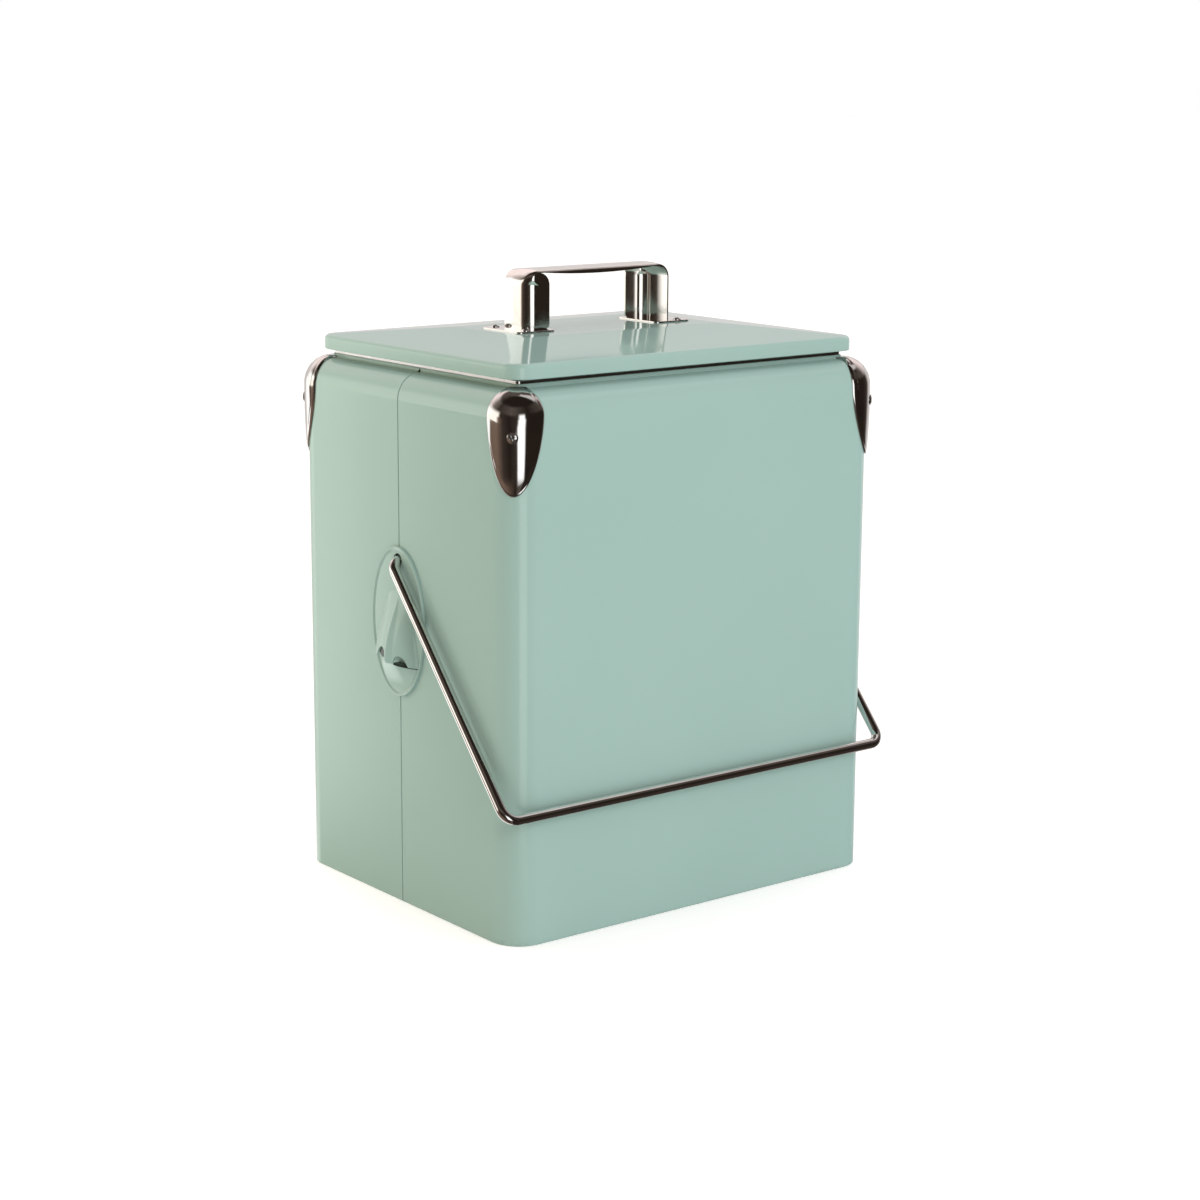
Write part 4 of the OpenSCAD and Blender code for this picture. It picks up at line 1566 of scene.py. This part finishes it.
@dataclass
class Lid:
    """The hipped lid, its inner pan, and the seal and foam between them."""

    wide: float = 279.0
    deep: float = 219.0
    radius: float = 13.0
    hem_z: float = 350.0
    side_top: float = 356.5
    edge: float = 3.0
    panel_wide: float = 156.0
    panel_deep: float = 80.0
    panel_z: float = 366.0
    sheet: float = 1.0
    hem: float = 6.0
    plug_wide: float = 255.2
    plug_deep: float = 195.2
    plug_radius: float = 9.6
    plug_z: float = 340.0
    flange_z: float = 351.1
    hem_round: float = 0.8
    pan_sheet: float = 0.8
    pan_edge: float = 2.4
    brim: float = 1.1

    def ring(self, inset: float, height: float) -> list[Point]:
        """A ring inside the lid's upright side."""
        return rect_ring(self.wide - 2 * inset, self.deep - 2 * inset, max(self.radius - inset, 2.0), height)

    def plug(self, inset: float, height: float) -> list[Point]:
        """A ring inside the wall of the pan's plug."""
        radius = max(self.plug_radius - inset, 2.0)
        return rect_ring(self.plug_wide - 2 * inset, self.plug_deep - 2 * inset, radius, height)

    def panel(self, change: float, radius: float, drop: float) -> list[Point]:
        """A ring on the flat panel, by the change of its size and its drop below the panel."""
        return rect_ring(self.panel_wide + change, self.panel_deep + change, radius, self.panel_z - drop)

    def slope(self, share: float, drop: float) -> list[Point]:
        """A ring on the hipped top.

        Args:
            share: 0 at the lid's edge and 1 at the flat panel.
            drop: Distance below the outer face.

        Returns:
            The points.
        """
        wide = (self.wide - 2 * self.edge) * (1 - share) + self.panel_wide * share
        deep = (self.deep - 2 * self.edge) * (1 - share) + self.panel_deep * share
        radius = (self.radius - self.edge) * (1 - share) + 2.5 * share
        low = self.side_top + self.edge
        return rect_ring(wide, deep, radius, low + (self.panel_z - low) * share - drop)

    def shell(self) -> bpy.types.Object:
        """Builds the pressed lid, from its inner face round the hem to its outer one.

        Returns:
            The piece.
        """
        t, edge, low, turn = self.sheet, self.edge, self.hem_z, self.hem_round
        corner = (edge, self.side_top)
        side = [*bend(corner, edge - t, 120, 180, 4), (t, low + t), (self.hem, low + t)]
        side += [(self.hem, low + 0.1), (self.hem - 0.3, low)]
        side += bend((turn, low + turn), turn, -90, -180, 4) + bend(corner, edge, 180, 96, 10)
        rows = [self.panel(-20, 2.5, t)] + [self.slope(share, t) for share in (1.0, 0.7, 0.4, 0.1)]
        rows += [self.ring(*at) for at in side]
        rows += [self.slope(share, 0.0) for share in (0.02, 0.3, 0.6, 0.9, 0.975)]
        rows += [self.panel(0.6, 2.8, 0.05), self.panel(-3, 2.5, 0.0), self.panel(-20, 2.5, 0.0)]
        plan = MeshPlan()
        plan.solid(rows)
        return finished(plan, "lid_shell_painted", Finish.PAINT, Body.LID, "lid_shell")

    def pan(self) -> bpy.types.Object:
        """Builds the inner pan: a plug in the mouth and a flange on the hem.

        Returns:
            The piece.
        """
        t, edge, low, top = self.pan_sheet, self.pan_edge, self.plug_z, self.flange_z
        foot = (edge, low + edge)
        under = [(40, low + 0.4), (20, low + 0.1), (edge + 3, low), *bend(foot, edge, -90, -180, 6)]
        under += [(0, top - 0.6), (-0.6, top)]
        brim = [(self.brim + 0.2, top), (self.brim, top + 0.2)]
        brim += [(self.brim, top + t - 0.2), (self.brim + 0.2, top + t)]
        over = [(0.2, top + t), (t, top + t - 0.6), *bend(foot, edge - t, -180, -90, 6)]
        over += [(edge + 3, low + t), (20, low + t + 0.1), (40, low + t + 0.4)]
        rows = [self.plug(*at) for at in under] + [self.ring(*at) for at in brim]
        plan = MeshPlan()
        plan.solid(rows + [self.plug(*at) for at in over])
        return finished(plan, "lid_inner_pan_brushed", Finish.LINER, Body.LID, "lid_inner_pan")

    def build(self) -> None:
        """Builds the lid and dresses its foam and seal."""
        self.shell()
        self.pan()
        dress_node("lid_foam", Finish.FOAM)
        dress_node("lid_gasket", Finish.RUBBER)


@dataclass
class LidHandle:
    """The strap handle: each leg has a flange on one side, and the bridge has bellied lips."""

    half: float = 58.0
    deep: float = 13.0
    base: float = 366.0
    height: float = 38.0
    bend: float = 9.0
    edge: float = 9.0
    strap: float = 1.2
    leg: float = 17.0
    lip: float = 3.2
    lip_reach: float = 45.0
    top_round: float = 8.0
    foot_round: float = 4.0
    bridge_edge: float = 1.5
    foot_reach: float = 13.0
    foot_side: float = 8.0
    foot_sheet: float = 1.0
    foot_corner: float = 4.0
    barrel: float = 0.9
    screw_out: float = 4.5
    screw_side: float = 3.5

    def stations(self) -> list[tuple[str, float]]:
        """Stops along the strap.

        Returns:
            Each stop's stretch and its share of the stretch.
        """
        counts = {"left": 14, "left_bend": 16, "bridge": 48, "right_bend": 16, "right": 14}
        stops = []
        for name, count in counts.items():
            stops += [(name, i / count) for i in range(count + (name == "right"))]
        return stops

    def outer(self, stretch: str, share: float) -> tuple[Vector, Vector]:
        """A point of the strap's outer line.

        Args:
            stretch: The stretch it is on.
            share: Its share of the stretch.

        Returns:
            Its X and Z, and the direction out of the strap.
        """
        rise = self.height - self.bend
        if stretch == "left":
            return Vector((-self.half, rise * share)), Vector((-1.0, 0.0))
        if stretch == "left_bend":
            out = Vector((-math.cos(share * math.pi / 2), math.sin(share * math.pi / 2)))
            return Vector((-self.half + self.bend, rise)) + out * self.bend, out
        if stretch == "bridge":
            reach = self.half - self.bend
            return Vector((-reach + 2 * reach * share, self.height)), Vector((0.0, 1.0))
        mirror = "left" if stretch == "right" else "left_bend"
        point, out = self.outer(mirror, 1 - share)
        return Vector((-point.x, point.y)), Vector((-out.x, out.y))

    def front(self, stretch: str, share: float) -> tuple[Vector, float]:
        """A point of the front's inner edge.

        Args:
            stretch: The stretch it is on.
            share: Its share of the stretch.

        Returns:
            Its X and Z, and the radius that leads to it.
        """
        point, out = self.outer(stretch, share)
        inner_x = self.half - self.leg
        under = self.height - self.strap
        if stretch == "left":
            z = (under - self.top_round) * share
            x = -inner_x
            if z < self.foot_round:
                x -= self.foot_round - math.sqrt(self.foot_round**2 - (self.foot_round - z) ** 2)
            return Vector((x, z)), self.edge
        if stretch == "left_bend":
            a = share * math.pi / 2
            centre = Vector((-inner_x - self.top_round, under - self.top_round))
            edge = self.edge + (self.strap - self.edge) * smooth(share) ** 0.8
            return centre + Vector((math.cos(a), math.sin(a))) * self.top_round, edge
        if stretch == "bridge":
            away = min(abs(point.x) / self.lip_reach, 1.0)
            depth = self.strap + (self.lip - self.strap) * (1 - away**2)
            return point - out * depth, min(self.bridge_edge, depth)
        return point - out * self.strap, 0.35

    def section(self, index: int, stops: list[tuple[str, float]], inset: float) -> list[Point]:
        """Points across the strap at one stop.

        Args:
            index: The stop's number.
            stops: All the stops.
            inset: 0 for the outer face, or the strap's thickness for the inner one.

        Returns:
            The points, from the front's inner edge to the rear's.
        """
        stretch, share = stops[index]
        point, out = self.outer(stretch, share)
        points = []
        for sign in (-1, 1):
            if sign < 0:
                edge_point, radius = self.front(stretch, share)
            else:
                edge_point, radius = self.front(*stops[len(stops) - 1 - index])
                edge_point = Vector((-edge_point.x, edge_point.y))
            y = self.deep - inset
            depth = (point - edge_point).dot(out)
            round_r = min(max(radius - inset, 0.0), max(depth - inset, 0.0)) if depth > 0 else 0.0
            if (stretch, sign) in (("left", -1), ("right", 1)):
                round_r = max(radius - inset, 0.0)
            start = point - out * (inset + round_r)
            side = [(*start.lerp(edge_point, 1 - i / 5), y) for i in range(5)]
            for a in arc(90, 0, 10):
                at = point - out * (inset + round_r * (1 - math.cos(a)))
                side.append((*at, y - round_r * (1 - math.sin(a))))
            flat = []
            for x, z, across in side:
                rise = self.barrel_rise(across)
                flat.append((x + out.x * rise, sign * across, self.base + (z + out.y * rise)))
            if sign < 0:
                points += flat
                web = side[-1][2]
                for i in range(1, 8):
                    across = -web + 2 * web * i / 8
                    at = point - out * (inset - self.barrel_rise(across))
                    points.append((at.x, across, self.base + at.y))
            else:
                points += list(reversed(flat))
        return points

    def barrel_rise(self, across: float) -> float:
        """How far the strap's face bows out, at a distance from its middle."""
        return self.barrel * (1 - (across / self.deep) ** 2)

    def strap_mesh(self, plan: MeshPlan) -> None:
        """Adds the strap, as an outer and an inner sheet joined round their edges.

        Args:
            plan: The handle's mesh.
        """
        stops = self.stations()
        faces = [
            plan.loft([self.section(i, stops, inset) for i in range(len(stops))], around=False)
            for inset in (0.0, self.strap)
        ]
        plan.bridge(*[rim_of(rows) for rows in faces])

    def foot(self, plan: MeshPlan, side: Side) -> None:
        """Adds a foot plate under a leg.

        Args:
            plan: The handle's mesh.
            side: The leg's side.
        """
        wide = self.leg + self.foot_reach
        centre = side.value * (self.half - self.leg + wide / 2)
        deep = 2 * (self.deep + self.foot_side)
        rows = []
        for inset, height in ((0.0, 0.0), (0.0, 0.7), (0.1, 0.9), (0.3, 1.0), (6.0, 1.0)):
            radius = max(self.foot_corner - inset, 1.0)
            ring = rect_ring(wide - 2 * inset, deep - 2 * inset, radius, self.base + height * self.foot_sheet)
            rows.append([(x + centre, y, z) for x, y, z in ring])
        plan.solid(rows)

    def build(self) -> None:
        """Builds the handle and its screws, and dresses the nuts under the lid."""
        plan = MeshPlan()
        self.strap_mesh(plan)
        for side in Side:
            self.foot(plan, side)
        finished(plan, "lid_handle_satin", Finish.HANDLE, Body.LID, "lid_handle", 40)
        x, y, z = self.half + self.screw_out, self.deep + self.screw_side, self.base + self.foot_sheet
        seats = [(sx * x, sy * y, z) for sx in (-1, 1) for sy in (-1, 1)]
        axes = [(0.0, 0.0, 1.0)] * len(seats)
        screws = Screws(
            "lid_handle_screws_steel", seats, axes, head_radius=2.8, head_height=1.5, shank_radius=1.5,
            shank_length=5.0, seed=3,
        )
        screws.build(Body.LID, "lid_handle_screws")
        dress_node("lid_handle_nuts", Finish.ZINC)


# ---------------------------------------------------------------- studio


def linear(red: int, green: int, blue: int) -> Colour:
    """Linear colour from display values of 0 to 255."""
    shares = (red / 255, green / 255, blue / 255)
    return tuple(c / 12.92 if c <= 0.04045 else ((c + 0.055) / 1.055) ** 2.4 for c in shares)


@dataclass
class Studio:
    """A white studio: pale floor, soft lights, and a camera on the chest."""

    yaw: float = 37.573
    pitch: float = 12.128
    roll: float = 0.206
    distance: float = 1.7376
    aim_height: float = 0.180
    slide: tuple[float, float] = (-0.009844, -0.00095)
    lens: float = 77.73
    shift: tuple[float, float] = (0.0238, 0.0027)
    floor_half: float = 14.0
    floor_z: float = -0.2
    bounce: Colour = (0.52, 0.36, 0.16)

    def camera(self) -> None:
        """Sets the camera."""
        yaw, pitch, roll = (math.radians(a) for a in (self.yaw, self.pitch, self.roll))
        ahead = Vector((math.sin(yaw) * math.cos(pitch), math.cos(yaw) * math.cos(pitch), -math.sin(pitch)))
        level = Vector((math.cos(yaw), -math.sin(yaw), 0.0))
        upright = level.cross(ahead)
        right = level * math.cos(roll) + upright * math.sin(roll)
        above = upright * math.cos(roll) - level * math.sin(roll)
        data = bpy.data.cameras.new("camera")
        data.lens, data.sensor_width = self.lens, 36.0
        data.shift_x, data.shift_y = self.shift
        data.clip_start, data.clip_end = 0.05, 100.0
        place = Vector((0, 0, self.aim_height)) - ahead * self.distance
        place = place + right * self.slide[0] + above * self.slide[1]
        turn = Matrix((right, above, -ahead)).transposed().to_4x4()
        eye = bpy.data.objects.new("camera", data)
        eye.matrix_world = Matrix.Translation(place) @ turn
        bpy.context.scene.collection.objects.link(eye)
        bpy.context.scene.camera = eye

    def floor(self) -> None:
        """Adds the pale floor."""
        plan = MeshPlan()
        size = self.floor_half / MM
        corners = [(x * size, y * size, self.floor_z) for x, y in ((-1, -1), (1, -1), (1, 1), (-1, 1))]
        plan.faces.append(tuple(plan.row(corners)))
        piece = plan.build("floor")
        finish = MaterialPlan("floor_paper")
        cloud = finish.noise(3.0, 2.0)
        colour = finish.blend(cloud, (0.84, 0.84, 0.84), (0.86, 0.86, 0.86))
        glow = {"Emission Color": (1.0, 1.0, 1.0, 1.0), "Emission Strength": 0.32}
        piece.data.materials.append(finish.finish(colour, cloud * 0.1 + 0.7, None, glow))
        piece.visible_glossy = False

    def light(self, name: str, place: Point, size: float, power: float, colour: Colour = (1, 1, 1)) -> None:
        """Adds a soft light that points at the chest.

        Args:
            name: The light's name.
            place: Where it stands, in metres.
            size: The side of its square panel.
            power: Its power, in watts.
            colour: Its colour.
        """
        data = bpy.data.lights.new(name, "AREA")
        data.energy, data.size, data.color = power, size, colour
        lamp = bpy.data.objects.new(name, data)
        away = Vector(place) - Vector((0, 0, 0.2))
        lamp.matrix_world = Matrix.Translation(place) @ away.to_track_quat("Z", "Y").to_matrix().to_4x4()
        lamp.visible_glossy = False
        bpy.context.scene.collection.objects.link(lamp)

    def world(self) -> None:
        """Builds the studio's surroundings: white for light, panels and flags for reflections."""
        world = bpy.data.worlds.new("studio")
        world.use_nodes = True
        bpy.context.scene.world = world
        world.cycles.sampling_method = "NONE"
        plan = NodePlan(world.node_tree)
        where = plan.add("ShaderNodeTexCoord").outputs["Generated"]
        split = plan.add("ShaderNodeSeparateXYZ", {}, {"Vector": where})
        x, y, z = (Field(plan, split.outputs[i]) for i in range(3))
        turn = x.math("FRACT", x.math("ARCTAN2", x, y) / math.tau + 1.0)
        dark, umber, brown = linear(40, 33, 28), linear(62, 53, 48), linear(124, 103, 90)
        cream, haze = (1.42, 1.34, 1.22), (0.74, 0.70, 0.69)
        white, panel, over = (1.45, 1.44, 1.42), (1.6, 1.6, 1.6), linear(92, 83, 77)
        grey, gleam = linear(132, 124, 115), (1.10, 0.95, 0.93)

        def ramp(stops: Sequence[tuple[float, Colour]]) -> bpy.types.NodeSocket:
            """Sets colours round the horizon.

            Args:
                stops: The angles, in degrees, each with its colour.

            Returns:
                The colour seen in each direction.
            """
            places = [(angle / 360, colour) for angle, colour in stops]
            return plan.add("ShaderNodeValToRGB", {"stops": places}, {"Fac": turn}).outputs["Color"]

        back = [(0, haze), (80, haze), (100, umber), (122, dark)]
        slit = [(187, dark), (193, panel), (211, panel), (218, umber), (246, dark), (270, umber)]
        front = [(286, brown), (296, cream), (319, cream), (345, white), (354, haze)]
        level = ramp(back + slit + front)
        mid = ramp(back + [
            (190, dark), (195, panel), (208, panel), (216, umber), (246, dark), (280, umber),
            (290, cream), (335, white), (354, haze),
        ])
        edge = [(296, brown), (325.6, brown), (328.2, white), (345, white), (354, haze)]
        wall = ramp(back + slit + edge)
        high = ramp([
            (0, gleam), (75, gleam), (110, over), (180, dark), (240, over), (292, umber), (322, grey),
            (350, gleam),
        ])
        crown = ramp([(0, over), (88, over), (98, haze), (118, haze), (130, dark), (300, dark), (340, over)])
        low = ramp([
            (0, white), (40, haze), (100, umber), (190, dark), (197, over), (208, over), (222, dark),
            (280, brown), (328, brown), (338, white),
        ])

        def layer(share: Field, under: bpy.types.NodeSocket, upper: object) -> bpy.types.NodeSocket:
            """Lays one band of the surroundings over another."""
            return plan.add("ShaderNodeMix", {"data_type": "RGBA"}, {0: share, 6: under, 7: upper}).outputs[2]

        seen = level
        bands = (
            (0.05, 0.12, mid), (0.22, 0.42, high), (0.66, 0.78, crown),
            (-0.10, -0.13, wall), (-0.26, -0.32, low),
        )
        for start, end, colours in bands:
            seen = layer(z.step(start, end), seen, colours)
        soft = (1.1, 1.1, 1.1)
        side = ramp([(0, soft), (180, soft), (222, self.bounce), (340, self.bounce), (359, soft)])
        even = layer(z.step(0.45, 0.95), side, (1.15, 1.15, 1.15))
        path = plan.add("ShaderNodeLightPath")
        both = layer(Field(plan, path.outputs["Is Glossy Ray"]), even, seen)
        plain = layer(Field(plan, path.outputs["Is Camera Ray"]), both, (1.0, 1.0, 1.0))
        sky = plan.add("ShaderNodeBackground", {}, {"Color": plain, "Strength": 1.0})
        plan.add("ShaderNodeOutputWorld", {}, {"Surface": sky.outputs["Background"]})

    def build(self) -> None:
        """Builds the whole studio."""
        self.camera()
        self.floor()
        self.world()
        self.light("key", (-0.6, -3.0, 2.2), 1.2, 22.0)
        self.light("fill", (1.6, -2.4, 1.2), 1.6, 5.0)
        self.light("rear_left", (-0.50, 0.58, 0.38), 0.3, 2.4, (1.0, 0.90, 0.76))
        bpy.context.scene.view_settings.view_transform = "Standard"


def main() -> None:
    """Builds every sub-assembly in order."""
    logging.basicConfig(level=logging.INFO, format="%(name)s: %(message)s")
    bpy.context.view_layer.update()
    Studio().build()
    shell = Shell()
    shell.build()
    Liner().build()
    Guards(shell).build()
    for side in Side:
        SidePlate(side).build()
    Bail().build()
    Lid().build()
    LidHandle().build()


if __name__ == "__main__":
    main()
